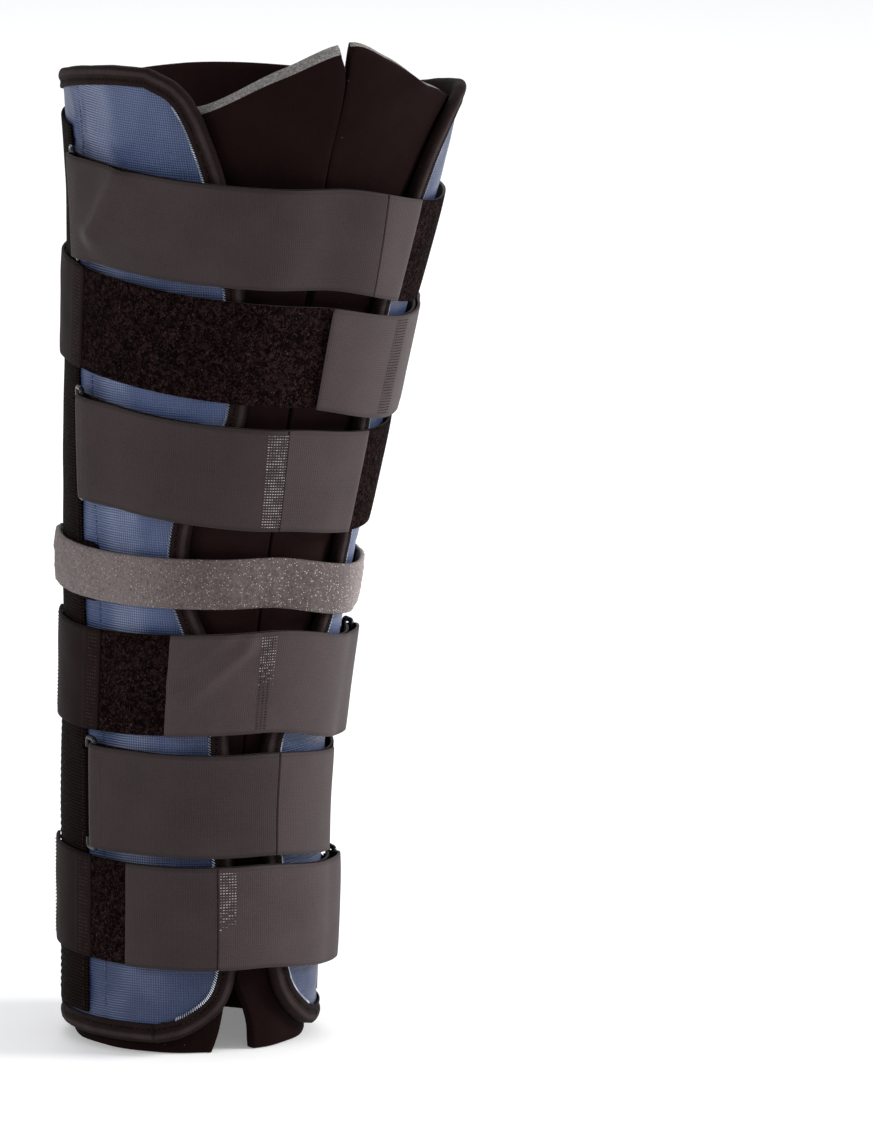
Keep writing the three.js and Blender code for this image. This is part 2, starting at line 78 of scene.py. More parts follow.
def read_table(keys: Sequence[float], values: Sequence[float], place: Points | float) -> Points:
    """Read a short table by smooth curves between its rows.

    Args:
        keys: Rising places of the rows.
        values: The rows' values.
        place: Where the table is read.

    Returns:
        One value for each place.
    """
    keys_at, value_at = np.asarray(keys, float), np.asarray(values, float)
    last = len(keys_at) - 1
    at = np.clip(np.asarray(place, float), keys_at[0], keys_at[-1])
    row = np.clip(np.searchsorted(keys_at, at, side="left") - 1, 0, last - 1)
    below, above = np.maximum(row - 1, 0), np.minimum(row + 2, last)
    step = keys_at[row + 1] - keys_at[row]
    start = (value_at[row + 1] - value_at[below]) / (keys_at[row + 1] - keys_at[below]) * step
    end = (value_at[above] - value_at[row]) / (keys_at[above] - keys_at[row]) * step
    share = (at - keys_at[row]) / step
    here, there = value_at[row], value_at[row + 1]
    cubic = 2 * (here - there) + start + end
    square = 3 * (there - here) - 2 * start - end
    return here + share * (start + share * (square + share * cubic))


def pair(first: Points, second: Points) -> Points:
    """Two coordinates side by side on the last axis."""
    return np.stack(np.broadcast_arrays(first, second), -1)


@dataclass(frozen=True)
class Waves:
    """Gentle uneven waves over a surface: the seed that picks them, their height and length in metres."""

    seed: int
    height: float
    length: float

    def at(self, across: Points, along: Points, extra: int = 0) -> Points:
        """Read the waves.

        Args:
            across: First coordinate on the surface, in metres.
            along: Second coordinate on the surface, in metres.
            extra: Number that is added to the seed, to pick another pattern.

        Returns:
            Height of the waves at each place.
        """
        draw = np.random.default_rng(self.seed + extra)
        height = np.zeros(np.broadcast(across, along).shape)
        waves = 7
        for _ in range(waves):
            turn, phase = draw.uniform(0, math.tau), draw.uniform(0, math.tau)
            scale = draw.uniform(0.6, 1.7)
            run = across * math.cos(turn) + along * math.sin(turn)
            height = height + np.sin(math.tau * scale * run / self.length + phase)
        return self.height * (height / math.sqrt(waves))


@dataclass(frozen=True)
class Leg:
    """Form that every layer is wound round, and the heights of the layers above it, in metres."""

    height: float = 0.512
    top_radius: float = 0.0895
    top_lean: float = 0.0295
    middle: tuple[float, float] = (-0.0240667, 0.0324119)
    wrap: float = 0.008
    panel_floor: float = 0.0101
    panel_face: float = 0.0131
    trim_floor: float = 0.0137
    strap_floor: float = 0.0157
    stay_front_y: float = -0.014
    heights: tuple[float, ...] = (0.0, 0.14, 0.2475, 0.363, 0.47, 0.59, 0.71, 0.815, 0.92, 1.0)
    radii: tuple[float, ...] = (0.544, 0.557, 0.562, 0.592, 0.643, 0.713, 0.777, 0.852, 0.94, 1.0)
    leans: tuple[float, ...] = (0.0, 0.04, 0.05, 0.152, 0.271, 0.437, 0.617, 0.8, 0.925, 1.0)

    def radius(self, z: Points | float) -> Points:
        """Radius of the leg form at a height."""
        return self.top_radius * read_table(self.heights, self.radii, np.asarray(z) / self.height)

    def lean(self, z: Points | float) -> Points:
        """How far the leg form's middle has moved at a height."""
        return self.top_lean * read_table(self.heights, self.leans, np.asarray(z) / self.height)

    def point(self, angle: Points | float, z: Points | float, out: Points | float) -> Points:
        """Place points round the leg form.

        Args:
            angle: Angles from the front midline in radians, lateral side positive.
            z: Heights above the lower rim.
            out: Distances out from the leg form.

        Returns:
            Points in the row frame, with the coordinates on the last axis.
        """
        reach = self.radius(z) + out
        lean = self.lean(z)
        x = lean - reach * np.sin(angle) + self.middle[0]
        y = -lean - reach * np.cos(angle) + self.middle[1]
        return np.stack(np.broadcast_arrays(x, y, np.asarray(z, float)), axis=-1)

    def strap_radius(self, z: float) -> float:
        """Radius on which the straps lie at a height."""
        return float(self.radius(z)) + self.strap_floor

    def stay_angle(self, z: Points | float) -> Points:
        """Angle of the front edge of the ribbed stay webbing at a height."""
        return np.arccos((-self.lean(z) - self.stay_front_y) / (self.radius(z) + self.trim_floor))


LEG = Leg()


class Side(Enum):
    """The two sides of the leg."""

    LATERAL = "lateral"
    MEDIAL = "medial"

    @property
    def sign(self) -> int:
        """Sense in which angles grow towards this side."""
        return 1 if self is Side.LATERAL else -1

    @property
    def other(self) -> Side:
        """The side across the leg."""
        return Side.MEDIAL if self is Side.LATERAL else Side.LATERAL


# Shader building


class Nodes:
    """Node tree of one finish."""

    def __init__(self, name: str) -> None:
        """Start an empty material.

        Args:
            name: The material's name.
        """
        self.material = bpy.data.materials.new(name)
        self.material.use_nodes = True
        self.tree = self.material.node_tree
        self.tree.nodes.clear()

    def add(self, kind: str, settings: dict[str, Any] | None = None,
            values: dict[int | str, Any] | None = None) -> bpy.types.Node:
        """Add a node, with its settings made before its sockets are filled.

        Args:
            kind: Node type.
            settings: Properties of the node; "stops" fills a colour ramp.
            values: Number, colour or Field for each socket.

        Returns:
            The node.
        """
        node = self.tree.nodes.new(kind)
        for name, value in (settings or {}).items():
            if name == "stops":
                ramp = node.color_ramp
                while len(ramp.elements) < len(value):
                    ramp.elements.new(0.5)
                for element, (place, colour) in zip(ramp.elements, value):
                    element.position = place
                    element.color = (*colour, 1.0)
            else:
                setattr(node, name, value)
        for key, value in (values or {}).items():
            socket = node.inputs[key]
            if isinstance(value, Field):
                self.tree.links.new(value.socket, socket)
            elif isinstance(value, Socket):
                self.tree.links.new(value, socket)
            elif isinstance(value, tuple) and len(value) == 3 and socket.type == "RGBA":
                socket.default_value = (*value, 1.0)
            else:
                socket.default_value = value
        return node

    def field(self, socket: Socket) -> Field:
        """Wrap a socket."""
        return Field(self, socket)

    def cloth_place(self) -> tuple[Field, Field]:
        """Place on the cloth in metres, from the piece's own UV map.

        Returns:
            Distances along and across.
        """
        uv = self.add("ShaderNodeUVMap", {"uv_map": "cloth"})
        split = self.add("ShaderNodeSeparateXYZ", values={0: uv.outputs[0]})
        return self.field(split.outputs[0]), self.field(split.outputs[1])

    def place(self) -> Socket:
        """Object coordinates."""
        return self.add("ShaderNodeTexCoord").outputs["Object"]

    def noise(self, scale: float, detail: float = 2.0, roughness: float = 0.5,
              vector: Socket | None = None, distortion: float = 0.0) -> Field:
        """Noise from 0 to 1.

        Args:
            scale: Waves per metre.
            detail: Number of finer layers.
            roughness: Strength of the finer layers.
            vector: Coordinates, or None for object coordinates.
            distortion: How far the pattern is swirled.

        Returns:
            The noise.
        """
        node = self.add("ShaderNodeTexNoise", values={
            "Vector": vector or self.place(), "Scale": scale, "Detail": detail,
            "Roughness": roughness, "Distortion": distortion})
        return self.field(node.outputs[0])

    def specks(self, scale: float, size: float, share: float, soft: float = 0.12) -> Field:
        """Scattered round specks, 1 on a speck.

        Args:
            scale: Cells per metre.
            size: Radius of a speck as a share of a cell.
            share: Share of the cells that hold a speck.
            soft: Softness of a speck's edge.

        Returns:
            The specks.
        """
        node = self.add("ShaderNodeTexVoronoi", values={"Vector": self.place(), "Scale": scale})
        pick = self.add("ShaderNodeSeparateColor", values={0: node.outputs["Color"]})
        dot = self.rise(self.field(node.outputs["Distance"]), size + soft, size)
        return dot * self.field(pick.outputs[0]).below(share)

    def rise(self, value: Field, low: float, high: float, to_low: float = 0.0, to_high: float = 1.0) -> Field:
        """Map a range of a field smoothly onto another.

        Args:
            value: The field.
            low: Value that gives the first result.
            high: Value that gives the second.
            to_low: First result.
            to_high: Second result.

        Returns:
            The mapped field.
        """
        node = self.add("ShaderNodeMapRange", {"interpolation_type": "SMOOTHSTEP"}, {
            0: value, 1: low, 2: high, 3: to_low, 4: to_high})
        return self.field(node.outputs[0])

    def blend(self, factor: Field, first: Any, second: Any) -> Socket:
        """Colour between two colours.

        Args:
            factor: 0 for the first colour, 1 for the second.
            first: Colour or colour socket.
            second: Colour or colour socket.

        Returns:
            The colour.
        """
        node = self.add("ShaderNodeMix", {"data_type": "RGBA"}, {0: factor, 6: first, 7: second})
        return node.outputs[2]

    def bump(self, height: Field, strength: float, distance: float,
             normal: Socket | None = None) -> Socket:
        """Normal of a surface raised by a height field.

        Args:
            height: Heights from 0 to 1.
            strength: How much of the relief counts.
            distance: Depth of the relief in metres.
            normal: Normal of a coarser relief below.

        Returns:
            The normal.
        """
        values: dict[int | str, Any] = {"Height": height, "Strength": strength, "Distance": distance}
        if normal is not None:
            values["Normal"] = normal
        return self.add("ShaderNodeBump", values=values).outputs[0]

    def finish(self, colour: Any, roughness: Any, normal: Socket | None = None,
               **constants: float) -> Material:
        """Close the tree with its shader.

        Args:
            colour: Base colour.
            roughness: Roughness.
            normal: Normal of the relief.
            constants: Other sockets of the shader, with underscores for spaces.

        Returns:
            The material.
        """
        values: dict[int | str, Any] = {"Base Color": colour, "Roughness": roughness}
        if normal is not None:
            values["Normal"] = normal
        values.update({name.replace("_", " "): value for name, value in constants.items()})
        shader = self.add("ShaderNodeBsdfPrincipled", values=values)
        output = self.add("ShaderNodeOutputMaterial")
        self.tree.links.new(shader.outputs[0], output.inputs[0])
        return self.material


class Field:
    """A number that varies over a surface, on which Python's operators work."""

    def __init__(self, nodes: Nodes, socket: Socket) -> None:
        """Wrap a socket of a node tree."""
        self.nodes = nodes
        self.socket = socket

    def math(self, operation: str, *values: Any) -> Field:
        """Put values through a Math node."""
        node = self.nodes.add("ShaderNodeMath", {"operation": operation}, dict(enumerate(values)))
        return Field(self.nodes, node.outputs[0])

    def __add__(self, other: Any) -> Field:
        """Sum."""
        return self.math("ADD", self, other)

    __radd__ = __add__

    def __sub__(self, other: Any) -> Field:
        """Difference."""
        return self.math("SUBTRACT", self, other)

    def __rsub__(self, other: Any) -> Field:
        """Difference from a number."""
        return self.math("SUBTRACT", other, self)

    def __mul__(self, other: Any) -> Field:
        """Product."""
        return self.math("MULTIPLY", self, other)

    __rmul__ = __mul__

    def wave(self, pitch: float, shift: float = 0.0) -> Field:
        """Sine of the field, from 0 to 1, that repeats every pitch."""
        return self.math("SINE", self * (math.tau / pitch) + shift) * 0.5 + 0.5

    def below(self, limit: float) -> Field:
        """1 where the field is below the limit, otherwise 0."""
        return self.math("LESS_THAN", self, limit)

    def power(self, exponent: float) -> Field:
        """Power of the field."""
        return self.math("POWER", self, exponent)

    def size(self) -> Field:
        """Field without its sign."""
        return self.math("ABSOLUTE", self)


Colour = tuple[float, float, float]


@dataclass(frozen=True)
class SmoothWebbing:
    """Dull charcoal woven strap with a fine weave, a dark selvedge and painted light: the part that faces the
    key light, on one side of its seam, is painted paler.
    """

    name: str = "smooth_webbing"
    dark: Colour = (0.0125, 0.0072, 0.0074)
    light: Colour = (0.055, 0.0355, 0.0365)
    # Painted light: lit copies of the dark and light colours, for the part that faces the key light
    lit_side_dark: Colour = (0.0210, 0.0130, 0.0136)
    lit_side_light: Colour = (0.080, 0.0555, 0.0575)
    gloss: float = 0.2
    warp: float = 0.00115
    weft: float = 0.00105
    half_width: float = 0.0255

    def make(self) -> Material:
        """Build the material.

        Returns:
            The material.
        """
        nodes = Nodes(self.name)
        along, across = nodes.cloth_place()
        weave = along.wave(self.weft) * across.wave(self.warp)
        ribs = along.wave(self.weft, 1.2)
        # Painted light: 1 where the webbing is painted paler, as if lit by the key light
        lit_side = nodes.rise(along, -0.0004, 0.0004)
        cloud = nodes.noise(38, 3, 0.6)
        grain = nodes.noise(1000, 3, 0.7)
        edge = nodes.rise(across.size(), self.half_width - 0.0022, self.half_width - 0.0009)
        shade = (weave * 0.26 + ribs * 0.16 + cloud * 0.42 + grain * 0.65 - 0.32) * (1 - edge * 0.55)
        near = nodes.blend(shade, self.dark, self.light)
        colour = nodes.blend(lit_side, near, nodes.blend(shade, self.lit_side_dark, self.lit_side_light))
        relief = weave * 0.7 + ribs * 0.3 + grain * 0.25
        normal = nodes.bump(relief, 0.5, 0.00018, nodes.bump(cloud, 0.12, 0.0012))
        return nodes.finish(colour, 0.5 + grain * 0.25, normal, Sheen_Weight=self.gloss * 0.25,
                            Sheen_Roughness=0.4, Specular_IOR_Level=self.gloss)


ANCHOR_WEBBING = SmoothWebbing("anchor_webbing", (0.0045, 0.0020, 0.0018), (0.0225, 0.0118, 0.0112),
                               (0.0045, 0.0020, 0.0018), (0.0225, 0.0118, 0.0112), 0.03)


@dataclass(frozen=True)
class LoopPile:
    """Black brushed loop face of a strap, with curls and a few light fibre ends."""

    name: str = "loop_pile"
    deep: Colour = (0.0022, 0.0008, 0.0008)
    top: Colour = (0.054, 0.0275, 0.0265)
    speck: Colour = (0.17, 0.13, 0.12)

    def make(self) -> Material:
        """Build the material.

        Returns:
            The material.
        """
        nodes = Nodes(self.name)
        curls = nodes.noise(900, 5, 0.7, distortion=1.4)
        tufts = nodes.noise(380, 3, 0.6, distortion=1.0)
        wear_and_highlight = nodes.noise(45, 2, 0.5)
        height = nodes.rise(curls, 0.42, 0.62) * 0.7 + nodes.rise(tufts, 0.40, 0.62) * 0.6
        colour = nodes.blend(height * height * (0.4 + wear_and_highlight * 0.6), self.deep, self.top)
        colour = nodes.blend(nodes.specks(1200, 0.14, 0.16, 0.2) * 0.6, colour, self.speck)
        normal = nodes.bump(height, 1.0, 0.0013)
        return nodes.finish(colour, 0.95, normal, Specular_IOR_Level=0.02)


@dataclass(frozen=True)
class BlueCloth:
    """Steel blue ribbed cloth: ribs across over the stay pocket and upright ribs in front of its seam, with
    painted light: a sheen band, glint patches on the ribs, shade near the bottom and a lighter band at mid
    height.
    """

    name: str = "blue_cloth"
    dark: Colour = (0.007, 0.018, 0.062)
    middle: Colour = (0.062, 0.095, 0.212)
    # Painted highlight colour of the sheen band and the glinting ribs
    light: Colour = (0.33, 0.37, 0.50)
    rib: float = 0.00125
    # Painted shade near the top, where the key light lights the medial panel strongly
    top_painted_shade: float = 0.0

    def make(self) -> Material:
        """Build the material.

        Returns:
            The material.
        """
        nodes = Nodes(self.name)
        along, up = nodes.cloth_place()
        pocket = nodes.rise(along, -0.019, -0.009)
        # Painted shade: darker towards the bottom, where the painted sheen is also taken away
        low = nodes.rise(up, 0.10, 0.03)
        # Painted sheen: highlight band about 18 mm in front of the seam
        sheen = nodes.rise((along + 0.018).size(), 0.017, 0.004) * (1 - low * 0.8)
        wobble = nodes.noise(210, 2, 0.5) * 0.00025
        level = (up + wobble).wave(self.rib).power(1.6)
        upright = (along + wobble).wave(self.rib).power(1.6)
        ribs = level * (0.45 + pocket * 0.55) + upright * (1 - pocket) * 0.55
        cross = (along.wave(0.0008) * up.wave(0.0008)) * 0.3
        cloud = nodes.noise(55, 3, 0.55)
        grain = nodes.noise(1900, 2, 0.6)
        high = nodes.rise(up, 0.38, 0.45)
        # Painted light: lighter band between 0.25 and 0.36 m height, against the shade between the straps
        middle = nodes.rise(up, 0.25, 0.29) * nodes.rise(up, 0.36, 0.33)
        shade = ribs * (0.7 + high * 0.7) + cross + cloud * 0.8 + grain * 0.4 - 0.55
        shade = shade - low * 0.34 - high * 0.26 + middle * 0.22 - nodes.rise(along, -0.038, -0.056) * 0.16
        # Painted shade near the top of the medial panel
        shade = shade - high * (self.top_painted_shade * 0.5)
        base = nodes.blend(shade, self.dark, self.middle)
        # Painted highlight: patches where the ribs glint; the same patches make soft folds in the bump
        glow = nodes.rise(nodes.noise(24, 2, 0.5), 0.40, 0.64)
        # Painted highlight on the ribs, from the glint patches and the sheen band
        shine = (ribs.power(2.2) + 0.12) * (0.05 + glow * 0.4 + sheen * 0.5)
        bright = (0.3 + sheen * 0.45) * (1 - high * self.top_painted_shade)
        colour = nodes.blend(shine * bright, base, self.light)
        normal = nodes.bump(ribs * 0.8 + cross + grain * 0.2, 0.9, 0.0003, nodes.bump(glow, 0.6, 0.003))
        return nodes.finish(colour, 0.34 + grain * 0.2, normal, Sheen_Weight=0.05, Sheen_Roughness=0.35,
                            Specular_IOR_Level=0.4)


LATERAL_CLOTH = BlueCloth()
# Medial panel's cloth: a copy with painted shade near its top, against the strong key light there
MEDIAL_CLOTH = BlueCloth("medial_blue_cloth_shaded_top", top_painted_shade=0.75)


@dataclass(frozen=True)
class BindingTape:
    """Dark folded tape with fine ribs across it and a painted highlight along the crest of its outer roll."""

    name: str = "binding_tape"
    dark: Colour = (0.0028, 0.0011, 0.0010)
    light: Colour = (0.024, 0.0132, 0.0120)
    # Painted highlight colour along the crest of the outer roll
    wear_and_highlight: Colour = (0.050, 0.038, 0.037)
    crest: float = 0.0045
    rib: float = 0.0011

    def make(self) -> Material:
        """Build the material.

        Returns:
            The material.
        """
        nodes = Nodes(self.name)
        along, across = nodes.cloth_place()
        ribs = along.wave(self.rib)
        cross = across.wave(0.0007)
        cloud = nodes.noise(120, 3, 0.6)
        grain = nodes.noise(1700, 2, 0.6)
        # Painted highlight along the crest of the tape's outer roll
        crest = nodes.rise((across - self.crest).size(), 0.0020, 0.0004)
        groove = nodes.rise((across - 0.0006).size(), 0.0009, 0.0)
        shade = ribs * 0.25 + cross * 0.15 + cloud * 0.55 + grain * 0.3 - groove * 0.5 - 0.2
        colour = nodes.blend(shade, self.dark, self.light)
        colour = nodes.blend(crest * (0.15 + cloud * 0.7), colour, self.wear_and_highlight)
        normal = nodes.bump(ribs * 0.7 + cross * 0.3 + grain * 0.3, 0.8, 0.0003)
        return nodes.finish(colour, 0.7 + grain * 0.15, normal, Specular_IOR_Level=0.07)


@dataclass(frozen=True)
class RibbedWebbing:
    """Dark webbing with strong level ribs crossed by fine upright lines."""

    name: str = "ribbed_webbing"
    dark: Colour = (0.0008, 0.0003, 0.0002)
    light: Colour = (0.0185, 0.0092, 0.0062)
    rib: float = 0.0016
    line: float = 0.0021

    def make(self) -> Material:
        """Build the material.

        Returns:
            The material.
        """
        nodes = Nodes(self.name)
        along, up = nodes.cloth_place()
        wobble = nodes.noise(180, 2, 0.5) * 0.0003
        ribs = (up + wobble).wave(self.rib).power(1.5)
        lines = (along + wobble).wave(self.line).power(0.6)
        cloud = nodes.noise(70, 3, 0.6)
        grain = nodes.noise(1700, 2, 0.6)
        weave = ribs * lines
        colour = nodes.blend(weave * 0.8 + cloud * 0.25 + grain * 0.25 - 0.2, self.dark, self.light)
        normal = nodes.bump(weave + grain * 0.2, 1.0, 0.0005)
        return nodes.finish(colour, 0.8, normal, Specular_IOR_Level=0.03)


@dataclass(frozen=True)
class BlackFoam:
    """Black cloth-faced foam with a soft knitted face, painted lighter at mid height."""

    name: str = "black_foam"
    dark: Colour = (0.0030, 0.0009, 0.0009)
    light: Colour = (0.0190, 0.0090, 0.0088)
    stitch: float = 0.0009

    def make(self) -> Material:
        """Build the material.

        Returns:
            The material.
        """
        nodes = Nodes(self.name)
        along, up = nodes.cloth_place()
        knit = along.wave(self.stitch) * (up + along * 0.35).wave(self.stitch * 0.8)
        cloud = nodes.noise(28, 4, 0.6)
        grain = nodes.noise(1300, 3, 0.65)
        lint = nodes.specks(240, 0.05, 0.05, 0.05)
        # Painted light: lighter between 0.07 and 0.43 m height, against the shade cast between the straps
        painted_light_band = nodes.rise(up, 0.07, 0.12) * nodes.rise(up, 0.43, 0.40)
        shade = knit * 0.25 + cloud * 0.55 + grain * 0.35 - 0.12
        colour = nodes.blend(shade * (1 + painted_light_band * 1.3), self.dark, self.light)
        colour = nodes.blend(lint * 0.35, colour, (0.16, 0.14, 0.13))
        normal = nodes.bump(knit * 0.6 + grain * 0.5, 0.6, 0.0002, nodes.bump(cloud, 0.4, 0.002))
        return nodes.finish(colour, 0.9, normal, Specular_IOR_Level=0.03)


@dataclass(frozen=True)
class FoamEdge:
    """Cut edge of the foam: open grey cells with light and dark specks."""

    name: str = "cut_foam_edge"
    dark: Colour = (0.075, 0.070, 0.066)
    light: Colour = (0.30, 0.285, 0.27)

    def make(self) -> Material:
        """Build the material.

        Returns:
            The material.
        """
        nodes = Nodes(self.name)
        cells = nodes.noise(950, 3, 0.7)
        cloud = nodes.noise(120, 2, 0.5)
        colour = nodes.blend(nodes.rise(cells, 0.32, 0.7) * 0.75 + cloud * 0.25, self.dark, self.light)
        colour = nodes.blend(nodes.specks(900, 0.2, 0.10) * 0.8, colour, (0.55, 0.52, 0.48))
        colour = nodes.blend(nodes.specks(750, 0.22, 0.12) * 0.7, colour, (0.03, 0.026, 0.024))
        normal = nodes.bump(cells, 0.8, 0.0005)
        return nodes.finish(colour, 0.9, normal, Specular_IOR_Level=0.25)


@dataclass(frozen=True)
class GreyFoam:
    """Grey moulded foam strap with light and golden specks and dark pores; the specks are painted thicker and
    the ends painted lighter towards the medial end, where the key light falls.
    """

    name: str = "grey_foam"
    dark: Colour = (0.027, 0.018, 0.017)
    light: Colour = (0.126, 0.094, 0.090)

    def make(self) -> Material:
        """Build the material.

        Returns:
            The material.
        """
        nodes = Nodes(self.name)
        along, _ = nodes.cloth_place()
        along = 0.33 - along
        cells = nodes.noise(900, 3, 0.7)
        cloud = nodes.noise(60, 2, 0.5)
        pores = nodes.specks(900, 0.24, 0.34)
        # Painted glitter: the light and golden specks thicken towards the medial end, where the key light
        # falls
        glints_toward_key_light = nodes.rise(along, 0.10, 0.24)
        # Painted light: lighter at both ends, most at the medial end where the key light falls
        ends = nodes.rise(along, 0.205, 0.255) * 0.95 + nodes.rise(along, 0.135, 0.09) * 0.25
        white = nodes.specks(1050, 0.21, 0.26) * (0.35 + glints_toward_key_light * 0.65)
        gold = nodes.specks(850, 0.17, 0.12) * (0.3 + glints_toward_key_light * 0.7)
        base = nodes.blend(nodes.rise(cells, 0.3, 0.72) * 0.7 + cloud * 0.3, self.dark, self.light)
        colour = nodes.blend(ends, base, (0.27, 0.225, 0.22))
        colour = nodes.blend(pores * 0.75, colour, (0.022, 0.018, 0.017))
        colour = nodes.blend(gold * 0.8, colour, (0.50, 0.38, 0.22))
        colour = nodes.blend(white * 0.9, colour, (0.72, 0.70, 0.66))
        rough = 0.75 - white * 0.4 - gold * 0.35
        normal = nodes.bump(cells - pores * 0.5, 0.7, 0.0005)
        return nodes.finish(colour, rough, normal, Specular_IOR_Level=0.5)


@dataclass(frozen=True)
class CoatedWire:
    """Glossy black coating on a wire ring, with a little wear."""

    name: str = "coated_wire"
    colour: Colour = (0.0055, 0.0042, 0.0040)
    wear_and_highlight: Colour = (0.03, 0.028, 0.027)

    def make(self) -> Material:
        """Build the material.

        Returns:
            The material.
        """
        nodes = Nodes(self.name)
        wear = nodes.noise(420, 4, 0.6)
        flow = nodes.noise(150, 2, 0.5)
        scuffs = nodes.rise(wear, 0.62, 0.72)
        colour = nodes.blend(scuffs * 0.6, self.colour, self.wear_and_highlight)
        normal = nodes.bump(flow * 0.7 + wear * 0.15, 0.25, 0.0004)
        return nodes.finish(colour, 0.20 + scuffs * 0.35, normal, Specular_IOR_Level=0.22, Coat_Weight=0.12,
                            Coat_Roughness=0.08)


@dataclass(frozen=True)
class Thread:
    """Twisted sewing thread with painted glints in patches."""

    name: str
    dark: Colour
    light: Colour
    # Painted glints: patches per metre, and the noise level above which a patch glints
    patches: float = 260
    share: float = 0.42
    gloss: float = 0.05

    def make(self) -> Material:
        """Build the material.

        Returns:
            The material.
        """
        nodes = Nodes(self.name)
        twist = nodes.noise(2600, 2, 0.6, distortion=1.0)
        # Painted highlight: patches where the thread glints
        glint = nodes.rise(nodes.noise(self.patches, 2, 0.5), self.share, self.share + 0.16)
        colour = nodes.blend(nodes.rise(twist, 0.3, 0.7) * 0.4 + glint * 0.6, self.dark, self.light)
        normal = nodes.bump(twist, 0.5, 0.0001)
        return nodes.finish(colour, 0.6, normal, Specular_IOR_Level=self.gloss)


PALE_THREAD = Thread("pale_thread", (0.075, 0.062, 0.062), (0.60, 0.56, 0.55))
DARK_THREAD = Thread("dark_thread", (0.004, 0.002, 0.002), (0.030, 0.020, 0.018))
BROWN_THREAD = Thread("brown_thread", (0.010, 0.005, 0.004), (0.062, 0.043, 0.037))
BLUE_THREAD = Thread("blue_thread", (0.03, 0.05, 0.11), (0.12, 0.17, 0.30))
# Dark blue thread whose near-white look comes only from painted glints
GLINT_BLUE_THREAD = Thread("glint_blue_thread", (0.020, 0.040, 0.09), (0.78, 0.86, 0.94), 42, 0.42, 0.5)


class Finishes:
    """Materials that were already made, one for each finish."""

    made: dict[str, Material] = {}

    @classmethod
    def of(cls, finish: Any) -> Material:
        """Material of a finish, made once.

        Args:
            finish: The finish.

        Returns:
            Its material.
        """
        if finish.name not in cls.made:
            cls.made[finish.name] = finish.make()
        return cls.made[finish.name]


# Meshes


def make_object(name: str, points: Points, faces: Sequence[Sequence[int]], uv: Points | None,
                finishes: Sequence[Any], picks: Sequence[int] | None = None) -> bpy.types.Object:
    """Make a smooth-shaded mesh object.

    Args:
        name: The piece's name.
        points: Points, one row each.
        faces: Point numbers of each face.
        uv: Place of each point on the cloth in metres, or None.
        finishes: Finishes of the material slots.
        picks: Material slot of each face.

    Returns:
        The object, linked to the scene.
    """
    mesh = bpy.data.meshes.new(name)
    mesh.from_pydata(np.asarray(points, float).tolist(), [], [list(map(int, face)) for face in faces])
    for finish in finishes:
        mesh.materials.append(Finishes.of(finish))
    if picks is not None:
        mesh.polygons.foreach_set("material_index", np.asarray(picks, np.int32))
    mesh.polygons.foreach_set("use_smooth", np.ones(len(mesh.polygons), bool))
    if uv is not None:
        layer = mesh.uv_layers.new(name="cloth")
        corner = np.empty(len(mesh.loops), np.int32)
        mesh.loops.foreach_get("vertex_index", corner)
        layer.data.foreach_set("uv", np.asarray(uv, float)[corner].ravel())
    obj = bpy.data.objects.new(name, mesh)
    bpy.context.scene.collection.objects.link(obj)
    mesh.validate()
    mesh.update()
    return obj


def turn_outwards(obj: bpy.types.Object) -> None:
    """Make a closed mesh's faces point outwards.

    Args:
        obj: The object.
    """
    shape = bmesh.new()
    shape.from_mesh(obj.data)
    bmesh.ops.recalc_face_normals(shape, faces=shape.faces)
    if shape.calc_volume(signed=True) < 0:
        bmesh.ops.reverse_faces(shape, faces=shape.faces)
    shape.to_mesh(obj.data)
    shape.free()
    obj.data.update()


@dataclass(frozen=True)
class Rim:
    """Section of a cloth's edge: how far it bulges in metres, and its rows.

    Each row has its share of half the thickness from the middle and its share of the bulge.
    """

    bulge: float
    rows: tuple[tuple[float, float], ...] = ((0.72, 0.70), (0.0, 1.0), (-0.72, 0.70))


def boundary(columns: int, rows: int) -> Points:
    """Numbers of the points once round a grid, from the first row on.

    Args:
        columns: Number of columns.
        rows: Number of points in each.

    Returns:
        The point numbers: first row, last column, last row back and first column down.
    """
    number = np.arange(columns * rows).reshape(columns, rows)
    return np.concatenate([number[:, 0], number[-1, 1:], number[-2::-1, -1], number[0, -2:0:-1]])


